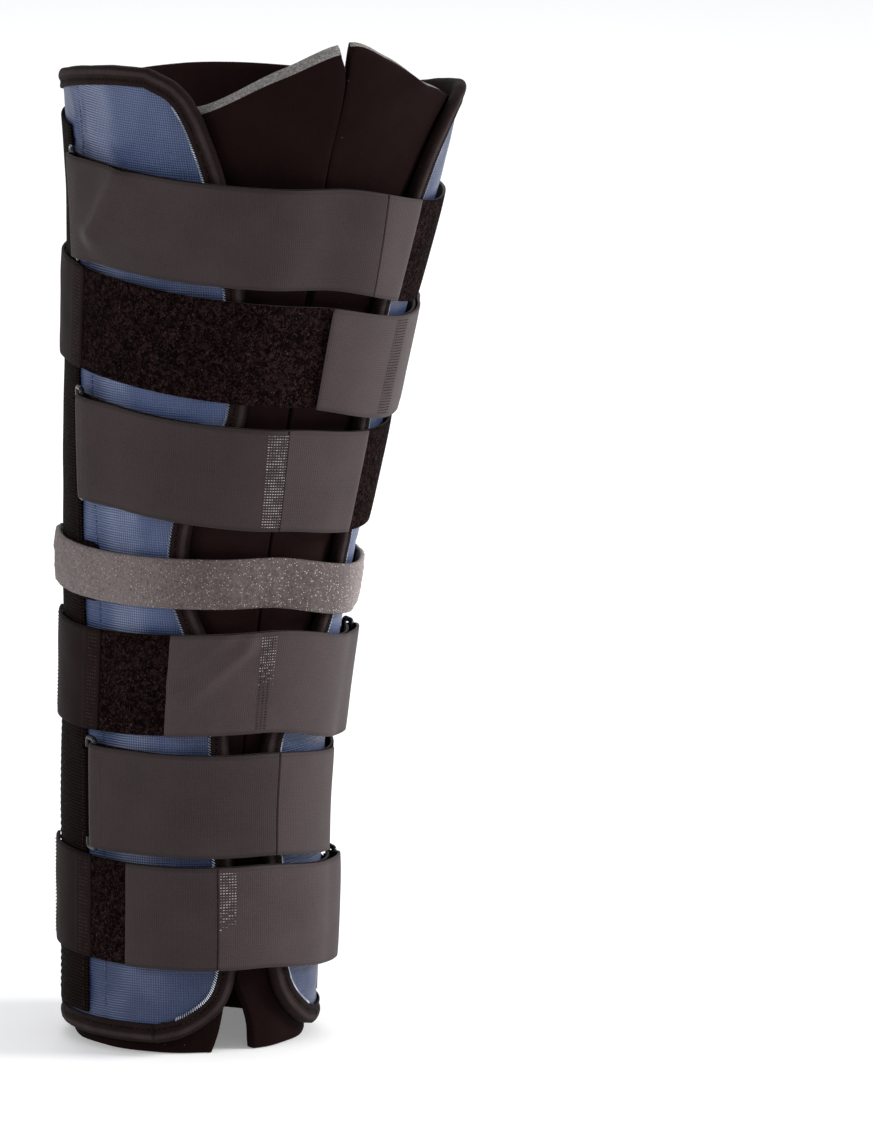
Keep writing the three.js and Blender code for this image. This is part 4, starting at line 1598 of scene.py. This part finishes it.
@dataclass
class WideStrap:
    """Pile strap that goes round its ring and folds back, with its ring, tab and sewn-on anchor."""

    number: int
    ring: Side
    start: float
    end: float
    heights: tuple[float, float, float]
    creases: tuple[Crease, ...] = ()
    blocks: tuple[StitchBlock, ...] = ()
    step: Step | None = None
    bow: float = 0.0
    width: float = 0.051
    thickness: float = 0.0016
    hook_loft: float = 0.0005
    fold_ramp: float = 0.024
    fold_blend: int = 6
    end_taper: float = 0.0009
    end_thinning: float = 0.35
    end_lift: float = 0.0002
    end_reach: float = 0.012
    bend_share: float = 0.85
    curl: float = 0.00028
    loft: float = 0.00012
    swell: Waves = Waves(60, 0.00012, 0.045)
    edge_waves: Waves = Waves(70, 0.00016, 0.03)
    crease_fade: float = 0.006
    stitch_lift: float = 0.00012
    wire: float = 0.0026
    ring_depth: float = 0.008
    ring_corner: float = 0.002
    ring_standoff: float = 0.0045
    tab_width: float = 0.044
    tab_thickness: float = 0.001
    gap: float = 0.0006
    sag_most: float = 0.004
    stay_width: float = 0.046
    anchor_overhang: float = 0.005
    anchor_curl: float = 0.0002
    anchor_waves: Waves = Waves(80, 0.00012, 0.03)
    anchor_rows: tuple[float, ...] = (0.0025, 0.0042, 0.0059, 0.0076)
    anchor_rear_rows: tuple[float, ...] = (0.004, 0.0056)
    anchor_stitch: float = 0.0011
    anchor_stitch_lift: float = 0.0003
    overlap_rise: float = 0.00024
    across: int = 30

    @property
    def sign(self) -> int:
        """Sense in which angles grow towards the ring."""
        return self.ring.sign

    def height_at(self, side: Side) -> float:
        """Height of the strap's middle on a side's line."""
        return self.heights[0] if side is Side.LATERAL else self.heights[2]

    def band(self, angle: Points, out: Points, turn: Points, width: float | None = None) -> Band:
        """Strip along this strap's line, as wide as the strap unless a width is given."""
        return Band(angle, out, self.sign, width or self.width, self.heights, turn, self.bow)

    def ring_angle(self) -> tuple[float, float, float]:
        """Where the ring sits.

        Returns:
            Its height, the angle of the stay webbing there and the angle of the ring's front bar.
        """
        near = float(LEG.stay_angle(self.height_at(self.ring)))
        z = float(self.band(np.zeros(2), np.zeros(2), np.zeros(2)).level(self.sign * near))
        stay = float(LEG.stay_angle(z))
        return z, stay, stay - (self.ring_standoff + self.ring_depth) / LEG.strap_radius(z)

    def sag(self, panels: dict[Side, SidePanel]) -> Callable[[Points], Points]:
        """How far the strap dips between the panels' front edges.

        Args:
            panels: The side panels that the strap lies on.

        Returns:
            Function of the angle that gives the depth of the dip.
        """
        radius = float(LEG.radius(self.heights[1]))
        edges = {}
        for side, panel in panels.items():
            height = self.heights[1] + np.array([-0.5, -0.25, 0, 0.25, 0.5]) * self.width - panel.bottom
            reads = panel.front_edge(height / (panel.top - panel.bottom))
            edges[side] = math.radians(float(reads.min())) - panel.tape_width / radius
        least = min(edges.values())
        chord = radius * (1 - math.cos(least))
        depth = min(self.sag_most, chord) if least > 0 else 0.0
        lateral, medial = (max(edges[side], math.radians(1)) for side in (Side.LATERAL, Side.MEDIAL))

        def dip(angle: Points) -> Points:
            """Depth of the dip.

            Args:
                angle: Angles, lateral side positive.

            Returns:
                The depths.
            """
            edge = np.where(angle > 0, lateral, medial)
            return depth * (1 - smooth(np.abs(angle) / edge, 0, 1))

        return dip

    def path(self, panels: dict[Side, SidePanel]) -> tuple[Band, int]:
        """Strap's path: across the front, round the ring's front bar and back over itself.

        Args:
            panels: The side panels that the strap lies on.

        Returns:
            The band, and the place of its path where the folded layer starts.
        """
        z, _, front = self.ring_angle()
        radius = LEG.strap_radius(z)
        begin = math.radians(self.start) + self.gap / radius
        dip = self.sag(panels)
        bend = self.wire / 2 + self.gap + self.thickness / 2
        bar = LEG.strap_floor + self.thickness + self.gap + self.wire / 2
        ramp = self.fold_ramp / radius

        def under(angle: Points) -> Points:
            """Height of the lower layer's middle."""
            return LEG.strap_floor + self.thickness / 2 - dip(self.sign * angle)

        def over(angle: Points) -> Points:
            """Height of the folded layer's middle."""
            near = smooth(angle, front - ramp, front)
            return under(angle) + (1 - near) * (self.thickness + self.hook_loft) + near * 2 * bend

        low = stations(begin, front)
        turns = np.linspace(0, math.pi, 16)[1:-1]
        top = stations(front, math.radians(self.end))
        if self.step:
            reach = 0.02 + math.radians(abs(self.step.lean)) / 2
            fine = math.radians(self.sign * self.step.angle) + np.linspace(-reach, reach, int(reach / 0.0005))
            top = np.sort(np.concatenate([top, fine[(fine < top[1]) & (fine > top[-2])]]))[::-1]
        angle = np.concatenate([low, front + bend * np.sin(turns) / radius, top])
        out = np.concatenate([under(low), bar - bend * np.cos(turns), over(top)])
        return self.band(angle, out, smooth(angle, 0, front)), len(low) + len(turns)

    def past_seam(self, band: Band, station: Points, share: Points) -> Points:
        """Distance from the seam of the folded layer.

        Args:
            band: The strap's band.
            station: Places on its path.
            share: Shares of its width.

        Returns:
            Distances towards the ring in metres.
        """
        angle = np.degrees(self.sign * np.interp(station, np.arange(len(band.angle)), band.angle))
        past = np.radians(angle - self.step.angle - self.step.lean * share)
        return past * LEG.strap_radius(self.heights[1]) * self.sign

    def relief(self, band: Band, station: Points, share: Points, length: Points, fold: int) -> Points:
        """How far the webbing stands out from its path, measured away from the leg.

        Args:
            band: The strap's band.
            station: Places on its path.
            share: Shares of its width.
            length: Distances along it.
            fold: Place where the folded layer starts.

        Returns:
            Height of the relief in metres.
        """
        across = share * self.width
        angle = np.degrees(self.sign * np.interp(station, np.arange(len(band.angle)), band.angle))
        curl = -self.curl * np.abs(2 * share) ** 6
        folded = smooth(station, fold, fold + self.fold_blend)
        edge_wave = self.edge_waves.at(length, across * 0, self.number) * np.abs(2 * share) ** 3
        swell = self.swell.at(length, across * 0.6, self.number)
        height = curl + (edge_wave + swell + self.loft) * (0.35 + 0.65 * folded)
        if self.step:
            past = self.past_seam(band, station, share)
            height = height + folded * self.step.drop * smooth(past, *self.step.ramp)
        scale = LEG.strap_radius(self.heights[1]) * math.pi / 180
        for crease in self.creases:
            ax, ay = crease.start[0], crease.start[1] * self.width
            bx, by = crease.end[0], crease.end[1] * self.width
            px, py = (angle - ax) * scale, across - ay
            qx, qy = (bx - ax) * scale, by - ay
            size = math.hypot(qx, qy)
            along = (px * qx + py * qy) / size
            away = (px * qy - py * qx) / size
            fade = self.crease_fade
            ends = smooth(along, -fade, fade) * (1 - smooth(along, size - fade, size + fade))
            height = height + folded * crease.height * ends * np.exp(-(away / crease.width) ** 2)
        return height

    def cloth(self, panels: dict[Side, SidePanel]) -> tuple[Band, int]:
        """Pile webbing in one length, folded back over itself.

        Args:
            panels: The side panels that the strap lies on.

        Returns:
            The band and the place of its path where the folded layer starts.
        """
        band, fold = self.path(panels)
        station, share, length = band.grid(self.across)
        _, upward = band.normals()
        height = self.relief(band, station, share, length, fold) * np.sign(upward)[:, None]
        steep = np.abs(upward)[:, None]
        height = np.where(steep < self.bend_share, height * steep, height)
        reach = length[-1, 0] - length
        taper = 1 - self.end_thinning * (np.exp(-reach / self.end_taper) + np.exp(-length / self.end_taper))
        half = self.thickness / 2 * taper
        lift = self.end_lift * smooth(reach, self.end_reach, 0.0) * (upward < 0)[:, None]
        outer = band.points(station, share, half + height - lift)
        # Painted light: distance into the part of the webbing that is painted paler, as if lit by the key
        # light; without a seam the whole strap is painted paler
        lit_side, groove = length + 1, 0 * length
        if self.step:
            past = self.past_seam(band, station, share)
            on_fold = smooth(station, fold, fold + self.fold_blend)
            groove = on_fold * self.step.notch * np.exp(-((past / self.step.width) ** 2))
            lit_side = -self.step.pale * past - 2 * self.step.pale * (1 - on_fold)
        inner = band.points(station, share, -half + height - lift + groove)
        uv = pair(lit_side, share * self.width)
        name = f"strap_{self.number}_webbing"
        obj = slab(name, outer, inner, uv, Rim(0.0003), [LoopPile(), SmoothWebbing()], (0, 1, 1))
        settle(obj, "strap_webbing", f"strap_{self.number}")
        return band, fold

    def stitches(self, band: Band, fold: int) -> None:
        """Blocks of stitches that hold the hook patch on the folded layer.

        Args:
            band: The strap's band.
            fold: Place of its path where the folded layer starts.
        """
        number = np.arange(len(band.angle), dtype=float)
        fold_angle, fold_number = band.angle[fold:][::-1], number[fold:][::-1]
        lengths = band.lengths()
        face = -self.thickness / 2 - self.stitch_lift
        for order, block in enumerate(self.blocks):
            columns = np.linspace(block.first, block.last, block.columns)
            half = block.length / 2 * abs(math.radians(columns[1] - columns[0]))
            rows = np.arange(block.rows)
            seam = Seam()
            for column, degrees_at in enumerate(columns):
                share = block.reach - 2 * block.reach * (rows + 0.5) / block.rows
                share = share[(0.5 - share) < block.fade + block.ragged * np.sin(rows * 2.3 + column)]
                tilt = np.radians(block.tilt) * (0.5 - share) * self.sign
                at = math.radians(degrees_at) * self.sign + tilt
                ways = []
                for move, rise in ((-half, 0.0), (half, 0.0), (-half, PROBE)):
                    place = np.interp(at + move, fold_angle, fold_number)
                    height = self.relief(band, place, share, np.interp(place, number, lengths), fold)
                    ways.append(band.points(place, share, face - height - rise))
                seam.add(*ways)
            seam.make(f"strap_{self.number}_stitches_{order + 1}", THREAD_RADIUS, block.finish,
                      "strap_webbing")

    def anchor(self) -> None:
        """Smooth webbing over the stay cover that holds the strap's sewn end."""
        z = self.height_at(self.ring.other)
        reach = self.stay_width + self.anchor_overhang
        rear = float(LEG.stay_angle(z)) + reach / LEG.strap_radius(z)
        angle = stations(-rear, math.radians(self.start))
        out = np.full(len(angle), LEG.strap_floor + self.thickness / 2)
        band = self.band(angle, out, np.zeros(len(angle)))
        station, share, length = band.grid(self.across)
        total = float(length[-1, 0])
        across = share * self.width
        height = self.anchor_waves.at(length, across, self.number) - self.anchor_curl * np.abs(2 * share) ** 6
        height = height + self.overlap_rise * smooth(length, total - 0.013, total - 0.011)
        outer = band.points(station, share, self.thickness / 2 + height + 0.0001)
        inner = band.points(station, share, -self.thickness / 2 + 0.0001 + 0 * height)
        uv = pair(length, across)
        name = f"strap_{self.number}_anchor_webbing"
        obj = slab(name, outer, inner, uv, Rim(0.0003), [ANCHOR_WEBBING])
        settle(obj, "strap_webbing", f"strap_{self.number}_anchor")
        rows = np.arange(-0.46, 0.461, 0.036)
        half_step = self.anchor_stitch / 2 / total * len(angle)
        lift = self.thickness / 2 + self.anchor_stitch_lift
        seam = Seam()
        for inset in (*self.anchor_rows, *(total - rear_inset for rear_inset in self.anchor_rear_rows)):
            at = np.interp(total - inset, length[:, 0], station[:, 0])
            a, b = np.full(len(rows), at - half_step), np.full(len(rows), at + half_step)
            seam.add(band.points(a, rows, lift), band.points(b, rows + 0.008, lift),
                     band.points(a, rows, lift + PROBE))
        seam.make(f"strap_{self.number}_anchor_stitches", THREAD_RADIUS, BROWN_THREAD, "strap_webbing")

    def wire_ring(self) -> None:
        """Rectangular wire ring with round corners, leaning out towards the front."""
        z, _, _ = self.ring_angle()
        radius = LEG.strap_radius(z)
        tall = self.width + 2 * self.gap + self.wire
        rear_out = LEG.trim_floor + self.tab_thickness + self.gap + self.wire / 2
        front_out = LEG.strap_floor + self.thickness + self.gap + self.wire / 2
        bpy.ops.object.select_all(action="DESELECT")
        bpy.ops.mesh.primitive_plane_add(size=1, location=(0, 0, 0))
        bpy.context.active_object.name = f"ring_{self.number}_wire"
        bpy.ops.object.mode_set(mode="EDIT")
        bpy.ops.mesh.select_all(action="SELECT")
        bpy.ops.transform.resize(value=(self.ring_depth, tall, 1))
        bpy.ops.mesh.bevel(offset=self.ring_corner, offset_type="OFFSET", segments=7, affect="VERTICES")
        bpy.ops.mesh.delete(type="ONLY_FACE")
        bpy.ops.mesh.select_all(action="SELECT")
        bpy.ops.mesh.subdivide(number_cuts=3)
        bpy.ops.object.mode_set(mode="OBJECT")
        bpy.ops.object.convert(target="CURVE")
        curve = bpy.context.active_object.data
        curve.bevel_depth = self.wire / 2
        curve.bevel_resolution = 5
        bpy.ops.object.convert(target="MESH")
        obj = bpy.context.active_object

        def seat(forwards: float, rise: float, out: float) -> Vector:
            """Point on the ring's own plane.

            Args:
                forwards: Distance in front of the stay webbing.
                rise: Height over the ring's middle.
                out: Distance out from the leg form.

            Returns:
                The point.
            """
            height = z + rise
            angle = float(LEG.stay_angle(height)) - forwards / radius
            return Vector(LEG.point(self.sign * angle, height, out))

        middle_forwards = self.ring_standoff + self.ring_depth / 2
        middle_out = (rear_out + front_out) / 2
        middle = seat(middle_forwards, 0, middle_out)
        ahead = seat(self.ring_standoff + self.ring_depth, 0, front_out)
        ahead = ahead - seat(self.ring_standoff, 0, rear_out)
        upward = seat(middle_forwards, tall / 2, middle_out) - seat(middle_forwards, -tall / 2, middle_out)
        x, y = ahead.normalized(), upward.normalized()
        y = (y - x * y.dot(x)).normalized()
        turn = Matrix((x, y, x.cross(y))).transposed().to_4x4()
        obj.matrix_world = Matrix.Translation(middle) @ turn
        bpy.ops.object.select_all(action="DESELECT")
        obj.select_set(True)
        bpy.context.view_layer.objects.active = obj
        bpy.ops.object.transform_apply(location=True, rotation=True, scale=True)
        bpy.ops.object.mode_set(mode="EDIT")
        bpy.ops.mesh.select_all(action="SELECT")
        bpy.ops.mesh.remove_doubles(threshold=1e-6)
        bpy.ops.mesh.normals_make_consistent(inside=False)
        bpy.ops.object.mode_set(mode="OBJECT")
        bpy.ops.object.shade_smooth()
        obj.data.materials.clear()
        obj.data.materials.append(Finishes.of(CoatedWire()))
        settle(obj, "black_wire", f"ring_{self.number}")

    def tab(self) -> None:
        """Webbing loop that holds the ring's rear bar at the stay cover's front edge."""
        z, stay, _ = self.ring_angle()
        radius = LEG.strap_radius(z)
        middle = LEG.trim_floor + self.tab_thickness / 2
        bar = LEG.trim_floor + self.tab_thickness + self.gap + self.wire / 2
        bend = self.wire / 2 + self.gap + self.tab_thickness / 2
        end_out = middle + self.tab_thickness + self.gap
        back, drop = self.gap - self.ring_standoff, end_out - bar
        end_turn = math.atan2(drop, back) + (math.tau if drop < 0 else 0)
        end_turn -= math.acos(bend / math.hypot(back, drop))
        turns = np.linspace(-math.pi / 2, end_turn, 18)
        start = np.linspace(self.gap, self.ring_standoff, 4)[:-1]
        forwards = np.concatenate([start, self.ring_standoff + bend * np.cos(turns)])
        out = np.concatenate([np.full(len(start), middle), bar + bend * np.sin(turns)])
        last = np.linspace(0, 1, 4)[1:]
        forwards = np.concatenate([forwards, forwards[-1] + last * (self.gap - forwards[-1])])
        out = np.concatenate([out, out[-1] + last * (end_out - out[-1])])
        angle = stay - forwards / radius
        band = self.band(angle, out, np.ones(len(angle)), self.tab_width)
        station, share, length = band.grid(self.across)
        half = self.tab_thickness / 2
        outer = band.points(station, share, half + 0 * length)
        inner = band.points(station, share, -half + 0 * length)
        uv = pair(length, share * self.tab_width)
        name = f"ring_{self.number}_loop"
        obj = slab(name, outer, inner, uv, Rim(0.0002), [RibbedWebbing()])
        settle(obj, "ribbed_webbing", f"ring_{self.number}_tab")

    def make(self, panels: dict[Side, SidePanel]) -> None:
        """Build and dress the strap and what holds it.

        Args:
            panels: The side panels that it lies on.
        """
        self.wire_ring()
        self.tab()
        band, fold = self.cloth(panels)
        self.stitches(band, fold)
        self.anchor()


@dataclass
class KneeStrap:
    """Narrow grey foam strap over the knee, with a small hook tab under each side."""

    width: float = 0.0245
    thickness: float = 0.0035
    height: float = 0.239
    medial_fall: float = 0.013
    bow: float = 0.0025
    end: float = 124.0
    tab_reach: float = 0.012
    tab_overhang: float = 0.0022
    tab_thickness: float = 0.0014
    gap: float = 0.0006
    across: int = 20
    tab_across: int = 24
    crown: float = 0.0009
    end_fall: float = 0.0012
    end_reach: float = 0.006
    dimples: Waves = Waves(90, 0.00025, 0.016)
    grain: Waves = Waves(91, 0.0002, 0.006)

    @property
    def heights(self) -> tuple[float, float, float]:
        """Heights on the lateral, front and medial lines."""
        return self.height, self.height, self.height - self.medial_fall

    def make(self, panels: dict[Side, SidePanel]) -> None:
        """Build and dress the strap and its tabs.

        Args:
            panels: The side panels that it lies on.
        """
        helper = WideStrap(0, Side.LATERAL, 0, 0, self.heights, width=self.width)
        dip = helper.sag(panels)
        angle = stations(-math.radians(self.end), math.radians(self.end))
        out = LEG.strap_floor + self.thickness / 2 - dip(angle)
        band = Band(angle, out, 1, self.width, self.heights, np.zeros(len(angle)), self.bow)
        station, share, length = band.grid(self.across)
        across = share * self.width
        total = float(length[-1, 0])
        near_end = np.minimum(length, total - length)
        crown = -self.crown * np.abs(2 * share) ** 4
        crown = crown - self.end_fall * (1 - smooth(near_end, 0, self.end_reach))
        dimple = self.dimples.at(length, across) + self.grain.at(length, across)
        outer = band.points(station, share, self.thickness / 2 + crown + dimple - 0.0001)
        inner = band.points(station, share, -self.thickness / 2 + 0.0001 + 0 * crown)
        uv = pair(length, across)
        rim = Rim(0.0006, ((0.6, 0.75), (0.0, 1.0), (-0.6, 0.75)))
        obj = slab("patella_strap_foam", outer, inner, uv, rim, [GreyFoam()])
        settle(obj, "grey_foam", "patella_strap")
        for side in Side:
            self.tab(side)

    def tab(self, side: Side) -> None:
        """Hook tab under the strap in front of a stay cover.

        Args:
            side: Side of the leg that it is on.
        """
        z = self.height if side is Side.LATERAL else self.height - self.medial_fall
        radius = float(LEG.radius(z)) + LEG.trim_floor
        rear = float(LEG.stay_angle(z)) - self.gap / radius
        tall = self.width + 2 * self.tab_overhang
        angle = np.linspace(rear - self.tab_reach / radius, rear, 12)
        out = np.full(len(angle), LEG.trim_floor + self.tab_thickness / 2)
        band = Band(angle, out, side.sign, tall, self.heights, np.ones(len(angle)), self.bow)
        station, share, length = band.grid(self.tab_across)
        total = float(length[-1, 0])
        edge = np.minimum(length, total - length)
        narrow = 1 - 0.06 * (1 - smooth(edge, 0, 0.004)) ** 2
        outer = band.points(station, share * narrow, self.tab_thickness / 2 - 0.0002 * np.abs(2 * share) ** 4)
        inner = band.points(station, share * narrow, -self.tab_thickness / 2 + 0 * share)
        uv = pair(length, share * tall)
        name = f"patella_{side.value}_hook_tab"
        obj = slab(name, outer, inner, uv, Rim(0.0003), [LoopPile()])
        settle(obj, "strap_webbing", f"patella_strap_{side.value}_tab")


# Studio


@dataclass(frozen=True)
class Studio:
    """Camera, floor and lights."""

    azimuth: float = -25.0
    elevation: float = 12.0
    lens: float = 900.0
    sensor: float = 36.0
    tall_view: float = 0.5561
    right: float = 0.0857
    up: float = 0.2286
    depth: float = 0.1
    clip: tuple[float, float] = (0.05, 60.0)
    floor_size: float = 40.0
    floor_height: float = -0.0009
    floor_glow: float = 0.19
    world_glow: float = 0.55
    aim: float = 0.26

    def axes(self) -> tuple[Vector, Vector, Vector]:
        """Directions of the camera.

        Returns:
            Directions to the right, up and back towards the camera.
        """
        a, e = math.radians(self.azimuth), math.radians(self.elevation)
        back = Vector((math.sin(a) * math.cos(e), -math.cos(a) * math.cos(e), math.sin(e)))
        right = Vector((math.cos(a), math.sin(a), 0.0))
        return right, back.cross(right), back

    def camera(self) -> None:
        """Long lens at the picture's viewing angle."""
        right, up, back = self.axes()
        data = bpy.data.cameras.new("studio_camera")
        data.lens = self.lens
        data.sensor_width = self.sensor
        distance = self.tall_view * self.lens / self.sensor + self.depth
        data.clip_start, data.clip_end = self.clip
        obj = bpy.data.objects.new("studio_camera", data)
        bpy.context.scene.collection.objects.link(obj)
        turn = Matrix((right, up, back)).transposed().to_4x4()
        obj.matrix_world = Matrix.Translation(right * self.right + up * self.up + back * distance) @ turn
        bpy.context.scene.camera = obj

    def floor(self) -> None:
        """Plain pale floor."""
        bpy.ops.object.select_all(action="DESELECT")
        bpy.ops.mesh.primitive_plane_add(size=self.floor_size, location=(0, 0, self.floor_height))
        floor = bpy.context.active_object
        floor.name = "studio_floor"
        nodes = Nodes("pale_floor")
        cloud = nodes.noise(3, 2, 0.5)
        colour = nodes.blend(cloud, (0.91, 0.91, 0.91), (0.94, 0.94, 0.94))
        floor.data.materials.append(nodes.finish(colour, 0.8 + cloud * 0.1, Emission_Color=(1.0, 1.0, 1.0),
                                                 Emission_Strength=self.floor_glow))

    def lamp(self, name: str, place: Vector, size: float, power: float) -> None:
        """Square soft light that looks at the object's middle.

        Args:
            name: The light's name.
            place: Where it stands.
            size: Side of the square.
            power: Power in watts.
        """
        data = bpy.data.lights.new(name, "AREA")
        data.shape, data.size, data.energy = "SQUARE", size, power
        obj = bpy.data.objects.new(name, data)
        bpy.context.scene.collection.objects.link(obj)
        obj.location = place
        obj.rotation_mode = "QUATERNION"
        obj.rotation_quaternion = (Vector((0, 0, self.aim)) - place).to_track_quat("-Z", "Y")

    def make(self) -> None:
        """Build the studio."""
        self.camera()
        self.floor()
        world = bpy.data.worlds.new("studio_world")
        world.use_nodes = True
        world.node_tree.nodes["Background"].inputs[0].default_value = (0.96, 0.97, 1.0, 1.0)
        world.node_tree.nodes["Background"].inputs[1].default_value = self.world_glow
        scene = bpy.context.scene
        scene.world = world
        scene.view_settings.view_transform = "Standard"
        self.lamp("key_light", Vector((2.3, -1.2, 1.5)), 1.0, 78)
        self.lamp("side_light", Vector((-2.4, -0.5, 1.2)), 0.9, 20)
        self.lamp("rim_light", Vector((0.6, 2.2, 1.8)), 1.2, 16)


STRAPS = (
    WideStrap(1, Side.LATERAL, -86, -33, (0.4234, 0.4152, 0.3966),
              (Crease((64, 0.5), (80, -0.3), 0.006, 0.005),), (), Step(-18.5, 3.0), 0.0035),
    WideStrap(2, Side.MEDIAL, -86, 6, (0.3671, 0.3558, 0.3398), (),
              (StitchBlock(-36, -43, 6, 1.2, BROWN_THREAD),), None, 0.005),
    WideStrap(3, Side.LATERAL, -80, -32, (0.3041, 0.2923, 0.2839), (),
              (StitchBlock(10.5, 3.8, 8, 1.2, PALE_THREAD, -2.0),), Step(2.5, 2.0), 0.0035),
    WideStrap(4, Side.MEDIAL, -70, -38, (0.1852, 0.1877, 0.1757),
              (Crease((6, 0.42), (35, -0.25), 0.004, 0.0034), Crease((14, 0.5), (40, -0.02), 0.004, 0.0018)),
              (StitchBlock(2.6, -3.2, 7, 0.42, PALE_THREAD, -1.0),
               StitchBlock(2.0, -1.5, 3, 1.2, BROWN_THREAD, -1.0))),
    WideStrap(5, Side.LATERAL, -72, -52, (0.1288, 0.1252, 0.1184), (), (), Step(-11.5, 0.5, 1, 0.0002)),
    WideStrap(6, Side.MEDIAL, -73, -53, (0.0714, 0.0689, 0.0621), (),
              (StitchBlock(13.3, 7.3, 6, 0.5, PALE_THREAD),), Step(14.2, 0.5, -1, 0.0003)),
)


def main() -> None:
    """Build the immobilizer and its studio, and report each piece."""
    logging.basicConfig(level=logging.INFO, format="%(message)s")
    Studio().make()
    FoamWrap().make()
    panels = {Side.LATERAL: SidePanel(Side.LATERAL, 0.497), Side.MEDIAL: SidePanel(Side.MEDIAL, 0.475)}
    for panel in panels.values():
        panel.make()
    for strap in STRAPS:
        strap.make(panels)
    KneeStrap().make(panels)
    for name, slot, faces in DRESSED:
        LOG.info("%s: %d faces, slot %s", name, faces, slot)


if __name__ == "__main__":
    main()
